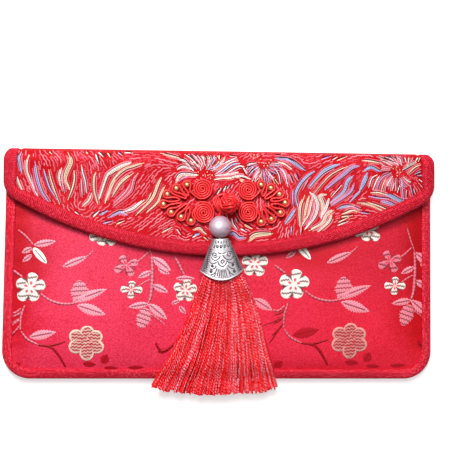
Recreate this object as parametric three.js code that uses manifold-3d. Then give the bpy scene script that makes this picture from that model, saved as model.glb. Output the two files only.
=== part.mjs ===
import * as THREE from "three";
import Module from "manifold-3d";

const wasm = await Module();
wasm.setup();

// Pouch: x runs along its width, y towards the fold, z up from the floor it lies on
const POUCH_WIDTH = 199;
const FOLD_WIDTH = 195.2;
const POUCH_HEIGHT = 105;
const FOLD_Y = 56.3;
const BOTTOM_Y = FOLD_Y - POUCH_HEIGHT;
const CORNER_RADIUS = 13;
const MOUTH_DEPTH = 12;
const MOUTH_Y = FOLD_Y - MOUTH_DEPTH;

// Cloth, tape and the play between them
const CLOTH = 1.3;
const TAPE = 1.0;
const TAPE_WIDTH = 6.2;
const BODY_TAPE_WIDTH = 4.6;
const GAP = 0.28;
const EDGE_INSET = TAPE + GAP;

// Puffed front and resting back
const PUFF = 6.8;
const FOOT_RISE = 50;
const NECK_DROP = 0.25;
const NECK_START_Y = 10;
const BACK_LIFT = EDGE_INSET + 0.05;
const BACK_RAMP = 5;
const SEAM_TOP = BACK_LIFT + CLOTH + GAP + CLOTH;

// Flap
const FLAP_HALF = 98.8;
const FLAP_TIP_Y = 8.4;
const FLAP_ARC_RADIUS = 190;
const FLAP_CORNER = 5;
const FLAP_STANDOFF = EDGE_INSET + GAP;
const FLAP_EDGE_LIFT = 0.25;
const FOLD_REACH = 6;
const FOLD_STEPS = 6;
const FOLD_CORNER = 1.6;

// Frog fastening, laid out around its own middle
const FROG_X = 1.25;
const FROG_Y = 32.36;
const FROG_TILT = -0.06;
const FROG_SEAT = 0.42;
const STRAND_WIDTH = 0.9;
const STRAND_HEIGHT = 2.0;
const COIL_PITCH = 1.15;
const COIL_START = 0.75;
const COIL_STEP_DEG = 36;
const BEAD_RADIUS = 1.1;
const HEAD_RADIUS = 1.8;
const NECK_BACK = 3.1;
const NECK_HALF = 0.62;
const TURN_RADIUS = 0.55;
const TURN_ROOM = 2.15;

// Button, pearl and tassel
const BUTTON_X = 1.4;
const BUTTON_Y = -0.2;
const BUTTON_RADIUS = 4.6;
const BUTTON_RISE = 5.2;
const LOOP_HALF_LENGTH = 5.3;
const LOOP_HALF_WIDTH = 4.2;
const PEARL_RADIUS = 5.0;
const BORE_RADIUS = 1.0;
const CORD_RADIUS = 0.7;
const HANG_X = -1.25;
const HANG_Y = 16.55;
const HANG_Z = 19.3;
const HANG_TURN = 0.05;
const HANG_TILT = 0.035;
const CAP_SIDE = 14.2;
const CAP_SAG = 4.2;
const CAP_TOP_HALF = 3.5;
const CAP_BASE_HALF = 9.75;
const CAP_TOP_DEPTH = 2.6;
const CAP_BASE_DEPTH = 4.8;
const CAP_WALL = 0.8;
const CAP_SEGMENTS = 24;
const FLUTE_RAISE = 0.22;
const HEAD_START = 0.34;

// Soft hollows of the front, as seen from above
const PANEL_DENTS = [
  { x: -86, y: 18, reachX: 12, reachY: 26, depth: 1.0 },
  { x: 86, y: 8, reachX: 11, reachY: 24, depth: 0.9 },
  { x: -30, y: -30, reachX: 26, reachY: 12, depth: 0.5 },
  { x: 62, y: -28, reachX: 30, reachY: 13, depth: 0.6 },
];

// Loops of each wing: where the bead sits, from the middle of the frog
const WINGS = {
  left: {
    side: -1,
    root: { x: 15.6, y: 1.1 },
    upperCoil: { x: 10.67, y: 6.51, radius: 4.7 },
    lowerCoil: { x: 9.76, y: -4.16, radius: 4.6 },
    beads: [
      { x: 17.6, y: 8.2 },
      { x: 22.4, y: 6.5 },
      { x: 26.4, y: 3.8 },
      { x: 28.1, y: -0.7 },
      { x: 24.6, y: -4.3 },
      { x: 20.1, y: -6.3 },
      { x: 15.6, y: -8.1 },
    ],
  },
  right: {
    side: 1,
    root: { x: 15.9, y: 0.6 },
    upperCoil: { x: 10.12, y: 6.24, radius: 4.7 },
    lowerCoil: { x: 10.35, y: -3.66, radius: 4.6 },
    beads: [
      { x: 16.1, y: 8.6 },
      { x: 20.5, y: 7.2 },
      { x: 24.5, y: 4.4 },
      { x: 27.1, y: 0.6 },
      { x: 25.0, y: -3.9 },
      { x: 20.9, y: -6.9 },
      { x: 16.2, y: -8.2 },
    ],
  },
};

// Skirt of the tassel: its two edges and half depth at rows down its length
const SKIRT_ROWS = [
  { y: 5.5, left: -6.4, right: 5.4, depth: 2.7 },
  { y: 0.6, left: -9.2, right: 9.0, depth: 3.3 },
  { y: -9, left: -12.1, right: 14.5, depth: 3.1 },
  { y: -20, left: -15.7, right: 17.8, depth: 2.7 },
  { y: -37, left: -23.3, right: 22.7, depth: 2.1 },
  { y: -52, left: -31.9, right: 27.3, depth: 1.7 },
];

// Locks of the skirt from left to right: place across it and cut end
const LOCKS = [
  { across: 0.03, tip: -52.6 },
  { across: 0.14, tip: -54.2 },
  { across: 0.26, tip: -54.9 },
  { across: 0.38, tip: -55.9 },
  { across: 0.5, tip: -56.3 },
  { across: 0.62, tip: -55.6 },
  { across: 0.74, tip: -55.3 },
  { across: 0.86, tip: -55.0 },
  { across: 0.97, tip: -52.9 },
];

// Colours
const SATIN_RED = 0xd92245;
const BROCADE_RED = 0xcc1a2c;
const TAPE_RED = 0xc81f3c;
const CORD_RED = 0xe02a30;
const SILK_RED = 0xdd3038;
const GOLD = 0xd8b060;
const PEARL_WHITE = 0xe8e2ea;
const SILVER = 0xb9b7bb;

const clamp = THREE.MathUtils.clamp;
const lerp = THREE.MathUtils.lerp;
const smooth = (value, from, to) => THREE.MathUtils.smoothstep(value, from, to);
const at = (x, y, z) => new THREE.Vector3(x, y, z);

const outlineHalf = (y) => {
  const along = (y - BOTTOM_Y) / POUCH_HEIGHT;
  return lerp(POUCH_WIDTH, FOLD_WIDTH, along) / 2;
};

const cornerCut = (rise, radius) => {
  const short = clamp(radius - rise, 0, radius);
  return radius - Math.sqrt(radius * radius - short * short);
};

const panelHalf = (y) => {
  const rise = y - BOTTOM_Y - EDGE_INSET;
  return outlineHalf(y) - EDGE_INSET - cornerCut(rise, CORNER_RADIUS - EDGE_INSET);
};

const edgeDistance = (x, y) => {
  const fromSide = outlineHalf(y) - Math.abs(x);
  const fromBottom = y - BOTTOM_Y;
  if (fromSide < CORNER_RADIUS && fromBottom < CORNER_RADIUS) {
    return CORNER_RADIUS - Math.hypot(CORNER_RADIUS - fromSide, CORNER_RADIUS - fromBottom);
  }
  return Math.min(fromSide, fromBottom);
};

const sidePuff = (u) => Math.pow(Math.max(0, 1 - Math.pow(Math.abs(u), 5)), 0.8);

const footPuff = (y) => {
  const rise = clamp((y - BOTTOM_Y - EDGE_INSET) / FOOT_RISE, 0, 1);
  return Math.pow(1 - Math.pow(1 - rise, 3.2), 0.9);
};

const neckPuff = (y) => 1 - NECK_DROP * smooth(y, NECK_START_Y, MOUTH_Y);

const dentDepth = (x, y) => {
  let depth = 0;
  for (const dent of PANEL_DENTS) {
    const reach = Math.hypot((x - dent.x) / dent.reachX, (y - dent.y) / dent.reachY);
    depth += dent.depth * Math.exp(-reach * reach);
  }
  return depth;
};

const frontTop = (x, y) => {
  const spread = sidePuff(x / panelHalf(y)) * footPuff(y);
  return SEAM_TOP + spread * (PUFF * neckPuff(y) - dentDepth(x, y));
};

const backUnder = (x, y) => {
  const ramp = smooth(edgeDistance(x, y), TAPE_WIDTH + 0.4, TAPE_WIDTH + BACK_RAMP);
  return BACK_LIFT * (1 - ramp);
};

const flapUnder = (x, y) => {
  const share = FLAP_EDGE_LIFT + (1 - FLAP_EDGE_LIFT) * sidePuff(x / FLAP_HALF);
  return SEAM_TOP + PUFF * neckPuff(y) * share + FLAP_STANDOFF;
};

const flapTop = (x, y) => flapUnder(x, y) + CLOTH;

const flapEdgeY = (x, inset) => {
  const radius = FLAP_ARC_RADIUS - inset;
  const half = FLAP_HALF - inset;
  const corner = FLAP_CORNER - inset;
  const past = clamp(Math.abs(x) - (half - corner), 0, corner);
  const arc = FLAP_TIP_Y + FLAP_ARC_RADIUS - Math.sqrt(radius * radius - x * x);
  return arc + corner - Math.sqrt(corner * corner - past * past);
};

// Outer skin of the flap on the back and round the fold, with its outward normal
const foldSkin = (x, step) => {
  const low = backUnder(x, MOUTH_Y);
  const foldStart = FOLD_Y - FOLD_REACH;
  const high = flapTop(x, foldStart);
  const turn = Math.PI * (clamp(step, 0, FOLD_STEPS) / FOLD_STEPS - 0.5);
  const half = (high - low) / 2;
  const bound = smooth(Math.abs(x), FLAP_HALF - TAPE_WIDTH - 5, FLAP_HALF - TAPE_WIDTH);
  const reach = FOLD_REACH - bound * EDGE_INSET;
  const pinched = x * (1 - (FOLD_CORNER / FLAP_HALF) * Math.cos(turn) ** 3);
  const spot = at(pinched, foldStart + reach * Math.cos(turn), low + half * (1 + Math.sin(turn)));
  const normal = at(0, Math.cos(turn) / reach, Math.sin(turn) / half).normalize();
  if (step < 0) {
    spot.y = MOUTH_Y + GAP;
  }
  return { outer: spot, normal, inner: spot.clone().addScaledVector(normal, -CLOTH) };
};

const topSkin = (x, y) => {
  return { outer: at(x, y, flapTop(x, y)), normal: at(0, 0, 1), inner: at(x, y, flapUnder(x, y)) };
};

const geometryOf = (points, triangles) => {
  const geometry = new THREE.BufferGeometry();
  const flat = points.flatMap((point) => [point.x, point.y, point.z]);
  let volume = 0;
  for (const [a, b, c] of triangles) {
    volume += points[a].dot(points[b].clone().cross(points[c]));
  }
  const faced = volume < 0 ? triangles.map(([a, b, c]) => [a, c, b]) : triangles;
  geometry.setAttribute("position", new THREE.Float32BufferAttribute(flat, 3));
  geometry.setIndex(faced.flat());
  return geometry;
};

// Closed wall between an outer and an inner grid of points
const wallGeometry = (outerRows, innerRows) => {
  const rows = outerRows.length;
  const columns = outerRows[0].length;
  const shift = rows * columns;
  const points = [...outerRows.flat(), ...innerRows.flat()];
  const triangles = [];
  const quad = (a, b, c, d) => triangles.push([a, b, c], [a, c, d]);
  for (let r = 0; r < rows - 1; r += 1) {
    for (let c = 0; c < columns - 1; c += 1) {
      const k = r * columns + c;
      quad(k, k + 1, k + columns + 1, k + columns);
      quad(shift + k, shift + k + columns, shift + k + columns + 1, shift + k + 1);
    }
  }
  const rim = [];
  for (let c = 0; c < columns - 1; c += 1) rim.push(c);
  for (let r = 0; r < rows - 1; r += 1) rim.push(r * columns + columns - 1);
  for (let c = columns - 1; c > 0; c -= 1) rim.push((rows - 1) * columns + c);
  for (let r = rows - 1; r > 0; r -= 1) rim.push(r * columns);
  rim.forEach((k, i) => {
    const next = rim[(i + 1) % rim.length];
    quad(next, k, shift + k, shift + next);
  });
  return geometryOf(points, triangles);
};

// Closed body from rings of points, its two ends filled in the plane of the given section
const sweepGeometry = (rings, endSection) => {
  const size = rings[0].length;
  const points = rings.flat();
  const triangles = [];
  for (let r = 0; r < rings.length - 1; r += 1) {
    for (let c = 0; c < size; c += 1) {
      const a = r * size + c;
      const b = r * size + ((c + 1) % size);
      triangles.push([a, b, b + size], [a, b + size, a + size]);
    }
  }
  const last = (rings.length - 1) * size;
  const outline = endSection.map(([x, y]) => new THREE.Vector2(x, y));
  const turned = THREE.ShapeUtils.isClockWise(outline);
  for (const [a, b, c] of THREE.ShapeUtils.triangulateShape(outline, [])) {
    const [p, q] = turned ? [c, b] : [b, c];
    triangles.push([a, q, p], [last + a, last + p, last + q]);
  }
  return geometryOf(points, triangles);
};

const manifoldOf = (geometry) => {
  const flat = geometry.index ? geometry.toNonIndexed() : geometry;
  const keys = new Map();
  const vertices = [];
  const corners = [];
  const position = flat.getAttribute("position");
  for (let i = 0; i < position.count; i += 1) {
    const spot = [position.getX(i), position.getY(i), position.getZ(i)];
    const key = spot.map((value) => value.toFixed(4)).join();
    if (!keys.has(key)) {
      keys.set(key, keys.size);
      vertices.push(...spot);
    }
    corners.push(keys.get(key));
  }
  const mesh = new wasm.Mesh({
    numProp: 3,
    vertProperties: Float32Array.from(vertices),
    triVerts: Uint32Array.from(corners),
  });
  mesh.merge();
  return new wasm.Manifold(mesh);
};

const fuse = (geometries) => {
  let whole = manifoldOf(geometries[0]);
  for (const geometry of geometries.slice(1)) {
    whole = whole.add(manifoldOf(geometry));
  }
  const mesh = whole.getMesh();
  const fused = new THREE.BufferGeometry();
  fused.setAttribute("position", new THREE.Float32BufferAttribute(mesh.vertProperties, 3));
  fused.setIndex(Array.from(mesh.triVerts));
  return fused;
};

const pouch = new THREE.Group();
pouch.name = "silk_red_envelope";

const addPiece = (name, geometry, colour, roughness, metalness, parent = pouch) => {
  const material = new THREE.MeshStandardMaterial({ color: colour, roughness, metalness });
  const mesh = new THREE.Mesh(geometry, material);
  mesh.name = name;
  parent.add(mesh);
  return mesh;
};

// Front and back walls: rows follow the rounded bottom, columns crowd towards the bound edges
const COLUMN_INSETS = [0, 2.32, 4.92, 9, 16, 30, 52, 76];
const ROW_RISES = [0, 0.7, 2.32, 4.92, 8, 11.72, 18, 28, 42, 60, 76];

const panelColumns = (y) => {
  const half = panelHalf(y);
  const full = outlineHalf(y) - EDGE_INSET;
  const right = COLUMN_INSETS.map((inset) => half * (1 - inset / full));
  return [...right.map((x) => -x), 0, ...right.reverse()];
};

const panelRows = [...ROW_RISES.map((rise) => BOTTOM_Y + EDGE_INSET + rise), MOUTH_Y];
const panelGrid = (height) => panelRows.map((y) => panelColumns(y).map((x) => at(x, y, height(x, y))));

const frontGeometry = wallGeometry(
  panelGrid(frontTop),
  panelGrid((x, y) => frontTop(x, y) - CLOTH),
);
const backGeometry = wallGeometry(
  panelGrid(backUnder),
  panelGrid((x, y) => backUnder(x, y) + CLOTH),
);
addPiece("front_panel", frontGeometry, SATIN_RED, 0.45, 0);
addPiece("back_panel", backGeometry, SATIN_RED, 0.45, 0);

// Flap: tail on the back, fold, then the front down to its curved edge
const FLAP_COLUMNS = [0, 2.32, 4.92, 9, 16, 26, 40, 56, 76];
const FLAP_ROWS = [0.06, 0.16, 0.3, 0.46, 0.64, 0.82, 0.94, 1];
const flapHalfColumns = FLAP_COLUMNS.map((inset) => FLAP_HALF - EDGE_INSET - inset);
const flapXs = [...flapHalfColumns.map((x) => -x), 0, ...flapHalfColumns.reverse()];
const flapSkins = [];
for (let step = -1; step <= FOLD_STEPS; step += 1) {
  flapSkins.push(flapXs.map((x) => foldSkin(x, step)));
}
for (const share of FLAP_ROWS) {
  flapSkins.push(flapXs.map((x) => topSkin(x, lerp(FOLD_Y - FOLD_REACH, flapEdgeY(x, EDGE_INSET), share))));
}
const flapGeometry = wallGeometry(
  flapSkins.map((row) => row.map((skin) => skin.outer)),
  flapSkins.map((row) => row.map((skin) => skin.inner)),
);
addPiece("flap", flapGeometry, BROCADE_RED, 0.6, 0);

// Folded tape: its section runs over one face of the edge, round it and back along the other
const TAPE_SECTION = [
  [TAPE_WIDTH, 1], [TAPE_WIDTH, 2], [3.6, 2], [1, 2], [0, 1.2], [0, -1.2], [1, -2],
  [3.6, -2], [TAPE_WIDTH, -2], [TAPE_WIDTH, -1], [3.6, -1], [1, -1], [1, 1], [3.6, 1],
];

const tapeRing = (skinAt, leg) => {
  return TAPE_SECTION.map(([across, layer]) => {
    const reach = across === TAPE_WIDTH ? leg : across === 3.6 ? Math.min(3.6, leg * 0.6) : across;
    const skin = skinAt(reach);
    const face = layer > 0 ? skin.outer : skin.inner;
    const away = Math.sign(layer) * (GAP + (Math.abs(layer) - 1) * TAPE);
    return face.clone().addScaledVector(skin.normal, away);
  });
};

const withMirror = (stations) => {
  const flipped = stations.slice(0, -1).map((ring) => ring.map((point) => at(-point.x, point.y, point.z)));
  return [...stations, ...flipped.reverse()];
};

// Right half of the body's edge, from the mouth down to the middle of the bottom
const bodySkin = (x, y) => {
  return { outer: at(x, y, frontTop(x, y)), normal: at(0, 0, 1), inner: at(x, y, backUnder(x, y)) };
};
const bodyStations = [];
for (const y of [MOUTH_Y, 32, 18, 2, -14, -28, BOTTOM_Y + CORNER_RADIUS]) {
  bodyStations.push(tapeRing((reach) => bodySkin(outlineHalf(y) - reach, y), BODY_TAPE_WIDTH));
}
const cornerX = outlineHalf(BOTTOM_Y + CORNER_RADIUS) - CORNER_RADIUS;
const cornerY = BOTTOM_Y + CORNER_RADIUS;
for (const degrees of [18, 36, 54, 72]) {
  const turn = THREE.MathUtils.degToRad(degrees);
  const skinAt = (reach) => {
    const radius = CORNER_RADIUS - reach;
    return bodySkin(cornerX + radius * Math.cos(turn), cornerY - radius * Math.sin(turn));
  };
  bodyStations.push(tapeRing(skinAt, BODY_TAPE_WIDTH));
}
for (const x of [cornerX, 60, 30, 0]) {
  bodyStations.push(tapeRing((reach) => bodySkin(x, BOTTOM_Y + reach), BODY_TAPE_WIDTH));
}
addPiece("body_binding", sweepGeometry(withMirror(bodyStations), TAPE_SECTION), TAPE_RED, 0.75, 0);

// Right half of the flap's edge, from its tail round the fold to the middle of the curve
const flapStations = [];
for (let step = -1; step <= FOLD_STEPS; step += 1) {
  flapStations.push(tapeRing((reach) => foldSkin(FLAP_HALF - reach, step), TAPE_WIDTH));
}
const sideY = (flapEdgeY(FLAP_HALF, 0) + FOLD_Y - FOLD_REACH) / 2;
flapStations.push(tapeRing((reach) => topSkin(FLAP_HALF - reach, sideY), TAPE_WIDTH));
const FLAP_EDGE = [
  { x: 98.75, leg: 5.6 },
  { x: 98.0, leg: 5.0 },
  { x: 96.6, leg: 4.8 },
  { x: 94.2, leg: 5.2 },
  { x: 88, leg: TAPE_WIDTH },
  { x: 78, leg: TAPE_WIDTH },
  { x: 64, leg: TAPE_WIDTH },
  { x: 48, leg: TAPE_WIDTH },
  { x: 32, leg: TAPE_WIDTH },
  { x: 16, leg: TAPE_WIDTH },
  { x: 0, leg: TAPE_WIDTH },
];
for (const { x, leg } of FLAP_EDGE) {
  const step = 0.02;
  const near = clamp(x, 0, FLAP_HALF - 2 * step);
  const slope = (flapEdgeY(near + step, 0) - flapEdgeY(near - step, 0)) / (2 * step);
  const inward = x === 0 ? at(0, 1, 0) : at(-slope, 1, 0).normalize();
  const y = flapEdgeY(x, 0);
  flapStations.push(tapeRing((reach) => topSkin(x + inward.x * reach, y + inward.y * reach), leg));
}
addPiece("flap_binding", sweepGeometry(withMirror(flapStations), TAPE_SECTION), TAPE_RED, 0.75, 0);

// Frog: everything below lies on a plane that leans with the flap
const frog = new THREE.Group();
frog.name = "frog";
frog.position.set(FROG_X, FROG_Y, flapTop(FROG_X, FROG_Y) + FROG_SEAT);
frog.rotation.x = FROG_TILT;
pouch.add(frog);

// Path that keeps its own points, so that tight turns stay tight
class StrandPath extends THREE.Curve {
  constructor(points, closed = false) {
    super();
    this.points = points;
    this.closed = closed;
  }

  getUtoTmapping(u) {
    return u;
  }

  getPoint(t) {
    const spans = this.closed ? this.points.length : this.points.length - 1;
    const place = clamp(t, 0, 1) * spans;
    const first = Math.min(Math.floor(place), spans - 1);
    const next = (first + 1) % this.points.length;
    return this.points[first].clone().lerp(this.points[next], place - first);
  }
}

const strandSection = () => {
  const shape = new THREE.Shape();
  const tall = STRAND_HEIGHT / 2;
  const wide = STRAND_WIDTH / 2;
  shape.moveTo(tall, 0);
  shape.lineTo(tall * 0.62, wide);
  shape.lineTo(-tall * 0.9, wide);
  shape.lineTo(-tall, 0);
  shape.lineTo(-tall * 0.9, -wide);
  shape.lineTo(tall * 0.62, -wide);
  shape.closePath();
  return shape;
};

const strandGeometry = (points, closed = false) => {
  const steps = closed ? points.length : points.length - 1;
  return new THREE.ExtrudeGeometry(strandSection(), { steps, extrudePath: new StrandPath(points, closed) });
};

// Coil from its middle outwards; spin is 1 for counterclockwise
const coilPoints = (coil, endDegrees, spin) => {
  const reach = coil.radius - STRAND_WIDTH / 2;
  const sweep = ((reach - COIL_START) / COIL_PITCH) * 360;
  const steps = Math.round(sweep / COIL_STEP_DEG);
  const points = [];
  for (let i = 0; i <= steps; i += 1) {
    const share = i / steps;
    const turn = THREE.MathUtils.degToRad(endDegrees - spin * sweep * (1 - share));
    const radius = lerp(COIL_START, reach, share);
    points.push([coil.x + radius * Math.cos(turn), coil.y + radius * Math.sin(turn)]);
  }
  return points;
};

const wingPoints = (wing) => {
  const loops = wing.beads.map((bead) => {
    const dx = bead.x - wing.root.x;
    const dy = bead.y - wing.root.y;
    return { bead, reach: Math.hypot(dx, dy), angle: Math.atan2(dy, dx) };
  });
  const from = (origin, angle, along, across) => [
    origin.x + Math.cos(angle) * along - Math.sin(angle) * across,
    origin.y + Math.sin(angle) * along + Math.cos(angle) * across,
  ];
  const path = [...coilPoints(wing.upperCoil, -62, 1)];
  loops.forEach((loop, i) => {
    path.push(from(wing.root, loop.angle, loop.reach - NECK_BACK, NECK_HALF));
    for (const degrees of [128, 80, 28, -28, -80, -128]) {
      const turn = THREE.MathUtils.degToRad(degrees);
      path.push(from(loop.bead, loop.angle, HEAD_RADIUS * Math.cos(turn), HEAD_RADIUS * Math.sin(turn)));
    }
    path.push(from(wing.root, loop.angle, loop.reach - NECK_BACK, -NECK_HALF));
    if (i + 1 < loops.length) {
      const next = loops[i + 1];
      const between = (loop.angle + next.angle) / 2;
      const depth = TURN_ROOM / (loop.angle - next.angle);
      path.push(from(wing.root, between, depth + TURN_RADIUS, TURN_RADIUS));
      path.push(from(wing.root, between, depth, 0));
      path.push(from(wing.root, between, depth + TURN_RADIUS, -TURN_RADIUS));
    }
  });
  path.push(...coilPoints(wing.lowerCoil, 62, -1).reverse());
  return path.map(([x, y]) => at(wing.side * x, y, STRAND_HEIGHT / 2));
};

for (const [name, wing] of Object.entries(WINGS)) {
  addPiece(`frog_wing_${name}`, strandGeometry(wingPoints(wing)), CORD_RED, 0.5, 0, frog);
  wing.beads.forEach((bead, i) => {
    const ball = new THREE.SphereGeometry(BEAD_RADIUS, 10, 5);
    const piece = addPiece(`gold_bead_${name}_${i + 1}`, ball, GOLD, 0.3, 1, frog);
    piece.position.set(wing.side * bead.x, bead.y, BEAD_RADIUS + 0.1);
  });
}

const loopPoints = [];
for (let i = 0; i < 24; i += 1) {
  const turn = (i / 24) * 2 * Math.PI;
  const straight = LOOP_HALF_LENGTH - LOOP_HALF_WIDTH;
  const x = LOOP_HALF_WIDTH * Math.cos(turn) + Math.sign(Math.cos(turn).toFixed(6)) * straight;
  loopPoints.push(at(x + 0.15, BUTTON_Y + LOOP_HALF_WIDTH * Math.sin(turn), STRAND_HEIGHT / 2));
}
const loopRings = loopPoints.map((point, i) => {
  const before = loopPoints[(i + loopPoints.length - 1) % loopPoints.length];
  const after = loopPoints[(i + 1) % loopPoints.length];
  const along = after.clone().sub(before).normalize();
  const outward = at(along.y, -along.x, 0);
  return strandSection().getPoints().slice(0, 6).map((spot) => {
    return point.clone().addScaledVector(outward, spot.y).add(at(0, 0, spot.x));
  });
});

// Ring closed on itself
const ringGeometry = (rings) => {
  const size = rings[0].length;
  const triangles = [];
  rings.forEach((ring, r) => {
    const next = ((r + 1) % rings.length) * size;
    for (let c = 0; c < size; c += 1) {
      const d = (c + 1) % size;
      triangles.push([r * size + c, r * size + d, next + d], [r * size + c, next + d, next + c]);
    }
  });
  return geometryOf(rings.flat(), triangles);
};
addPiece("button_loop", ringGeometry(loopRings), CORD_RED, 0.5, 0, frog);

// Woven ball: two sets of slanting ribs
const knotGeometry = new THREE.SphereGeometry(BUTTON_RADIUS, 20, 10);
const knotSpots = knotGeometry.getAttribute("position");
for (let i = 0; i < knotSpots.count; i += 1) {
  const spot = at(knotSpots.getX(i), knotSpots.getY(i), knotSpots.getZ(i));
  const around = Math.atan2(spot.z, spot.x);
  const up = Math.asin(clamp(spot.y / BUTTON_RADIUS, -1, 1));
  const weave = Math.cos(5 * around + 4 * up) * Math.cos(5 * around - 4 * up);
  spot.multiplyScalar(1 - 0.05 * Math.cos(up) * (0.5 - 0.5 * weave));
  knotSpots.setXYZ(i, spot.x, spot.y, spot.z);
}
const knot = addPiece("button_knot", knotGeometry, CORD_RED, 0.5, 0, frog);
knot.position.set(BUTTON_X, BUTTON_Y, BUTTON_RISE);

// Tassel: hangs along its own -y, from the top of the cap
const hang = new THREE.Group();
hang.name = "hang";
hang.position.set(HANG_X, HANG_Y, HANG_Z);
hang.rotation.set(HANG_TILT, 0, HANG_TURN, "ZXY");
pouch.add(hang);

const pearlCentre = PEARL_RADIUS + 0.3;
const cordLow = -2.6;
const cordHigh = pearlCentre + PEARL_RADIUS + 1.25;
const cordGeometry = new THREE.CylinderGeometry(CORD_RADIUS, CORD_RADIUS, cordHigh - cordLow, 10);
const cord = addPiece("tassel_cord", cordGeometry, CORD_RED, 0.6, 0, hang);
cord.position.y = (cordHigh + cordLow) / 2;

const pearlProfile = [];
const boreAngle = Math.asin(BORE_RADIUS / PEARL_RADIUS);
for (let i = 0; i <= 9; i += 1) {
  const turn = lerp(boreAngle, Math.PI - boreAngle, i / 9);
  pearlProfile.push(new THREE.Vector2(PEARL_RADIUS * Math.sin(turn), -PEARL_RADIUS * Math.cos(turn)));
}
pearlProfile.push(pearlProfile[0].clone());
const pearl = addPiece("pearl", new THREE.LatheGeometry(pearlProfile, 16), PEARL_WHITE, 0.25, 0, hang);
pearl.position.y = pearlCentre;

// Cap: oval rings from the rim up the outside, through the hole and down the inside
const capHalf = (share, cut) => lerp(CAP_TOP_HALF, CAP_BASE_HALF, share) - cut;
const capDepth = (share, cut) => lerp(CAP_TOP_DEPTH, CAP_BASE_DEPTH, share) - cut;
const capDrop = (share, turn) => share * (CAP_SIDE + CAP_SAG * Math.sin(turn) ** 2);

const capRing = (ring) => {
  const points = [];
  for (let i = 0; i < CAP_SEGMENTS; i += 1) {
    const turn = (i / CAP_SEGMENTS) * 2 * Math.PI;
    const raise = ring.flute && i % 2 === 1 ? FLUTE_RAISE : 0;
    const half = ring.hole ? BORE_RADIUS : capHalf(ring.share, ring.cut) + raise;
    const depth = ring.hole ? BORE_RADIUS : capDepth(ring.share, ring.cut) + raise;
    points.push(at(half * Math.cos(turn), -capDrop(ring.share, turn), depth * Math.sin(turn)));
  }
  return points;
};

const CAP_RINGS = [
  { share: 1, cut: 0 },
  { share: 0.94, cut: 0 },
  { share: 0.9, cut: 0.1, flute: true },
  { share: 0.66, cut: 0.1, flute: true },
  { share: 0.6, cut: 0 },
  { share: 0.22, cut: 0 },
  { share: 0.18, cut: 0.15 },
  { share: 0, cut: 0.1 },
  { share: 0, hole: true },
  { share: 0.07, hole: true },
  { share: 0.07, cut: CAP_WALL },
  { share: 1, cut: CAP_WALL },
];
addPiece("tassel_cap", ringGeometry(CAP_RINGS.map(capRing)), SILVER, 0.35, 1, hang);

// Head of the tassel inside the cap, in the cap's own place
const headRing = (share) => {
  const points = [];
  for (let i = 0; i < 12; i += 1) {
    const turn = (i / 12) * 2 * Math.PI;
    const half = capHalf(share, CAP_WALL + 0.5);
    const depth = capDepth(share, CAP_WALL + 0.5);
    const spot = at(half * Math.cos(turn), -capDrop(share, turn), depth * Math.sin(turn));
    points.push(spot);
  }
  return points;
};
hang.updateWorldMatrix(true, false);
const ovalSection = Array.from({ length: 12 }, (_, i) => {
  const turn = (i / 12) * 2 * Math.PI;
  return [Math.cos(turn), Math.sin(turn)];
});
const headRings = [HEAD_START, 0.62, 0.9].map((share) => {
  return headRing(share).map((point) => point.applyMatrix4(hang.matrixWorld));
});
const headGeometry = sweepGeometry(headRings, ovalSection);

// What the skirt lies on: the front, its binding, and the air past the bottom edge
const skirtFloor = (x, y) => {
  const bound = 1 - smooth(edgeDistance(x, y), TAPE_WIDTH + 0.6, TAPE_WIDTH + 9);
  const past = Math.max(0, BOTTOM_Y - y);
  return frontTop(x, Math.max(y, BOTTOM_Y)) + bound * EDGE_INSET - past * 0.1;
};

const skirtRow = (y) => {
  const last = SKIRT_ROWS.length - 1;
  let k = SKIRT_ROWS.findIndex((row, i) => i === last || SKIRT_ROWS[i + 1].y <= y);
  k = clamp(k, 0, last - 1);
  const upper = SKIRT_ROWS[k];
  const lower = SKIRT_ROWS[k + 1];
  const share = (y - upper.y) / (lower.y - upper.y);
  return {
    left: lerp(upper.left, lower.left, share),
    right: lerp(upper.right, lower.right, share),
    depth: lerp(upper.depth, lower.depth, share),
  };
};

const LOCK_SIDES = 6;
const lockSection = Array.from({ length: LOCK_SIDES }, (_, i) => {
  const turn = (i / LOCK_SIDES) * 2 * Math.PI;
  return [Math.cos(turn), Math.sin(turn)];
});

const lockGeometry = (lock) => {
  const rings = [5.5, 0.6, -9, -20, -37, -47, lock.tip].map((y) => {
    const row = skirtRow(y);
    const wide = ((row.right - row.left) / (LOCKS.length - 1)) * 0.66;
    const oval = Math.sqrt(1 - (lock.across * 2 - 1) ** 2 * 0.86);
    const inCap = smooth(y, -14, -1);
    const deep = row.depth * lerp(0.55 + 0.45 * oval, oval, inCap);
    const x = lerp(row.left + wide, row.right - wide, lock.across);
    const axis = HANG_Z - (HANG_Y - y) * HANG_TILT;
    const rest = skirtFloor(x, y) + GAP + 0.3 + deep;
    const z = lerp(rest, axis, inCap);
    return lockSection.map(([across, up]) => at(x + wide * across, y, z + deep * up));
  });
  return sweepGeometry(rings, lockSection);
};
addPiece("tassel", fuse([headGeometry, ...LOCKS.map(lockGeometry)]), SILK_RED, 0.6, 0);

// Origin under the middle of the whole
const bounds = new THREE.Box3().setFromObject(pouch);
const middle = bounds.getCenter(new THREE.Vector3());
pouch.position.set(-middle.x, -middle.y, -bounds.min.z);
pouch.updateMatrixWorld(true);

export default pouch;
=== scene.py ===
import math
import random
import bpy
import numpy as np
from mathutils import Matrix, Vector


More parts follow.
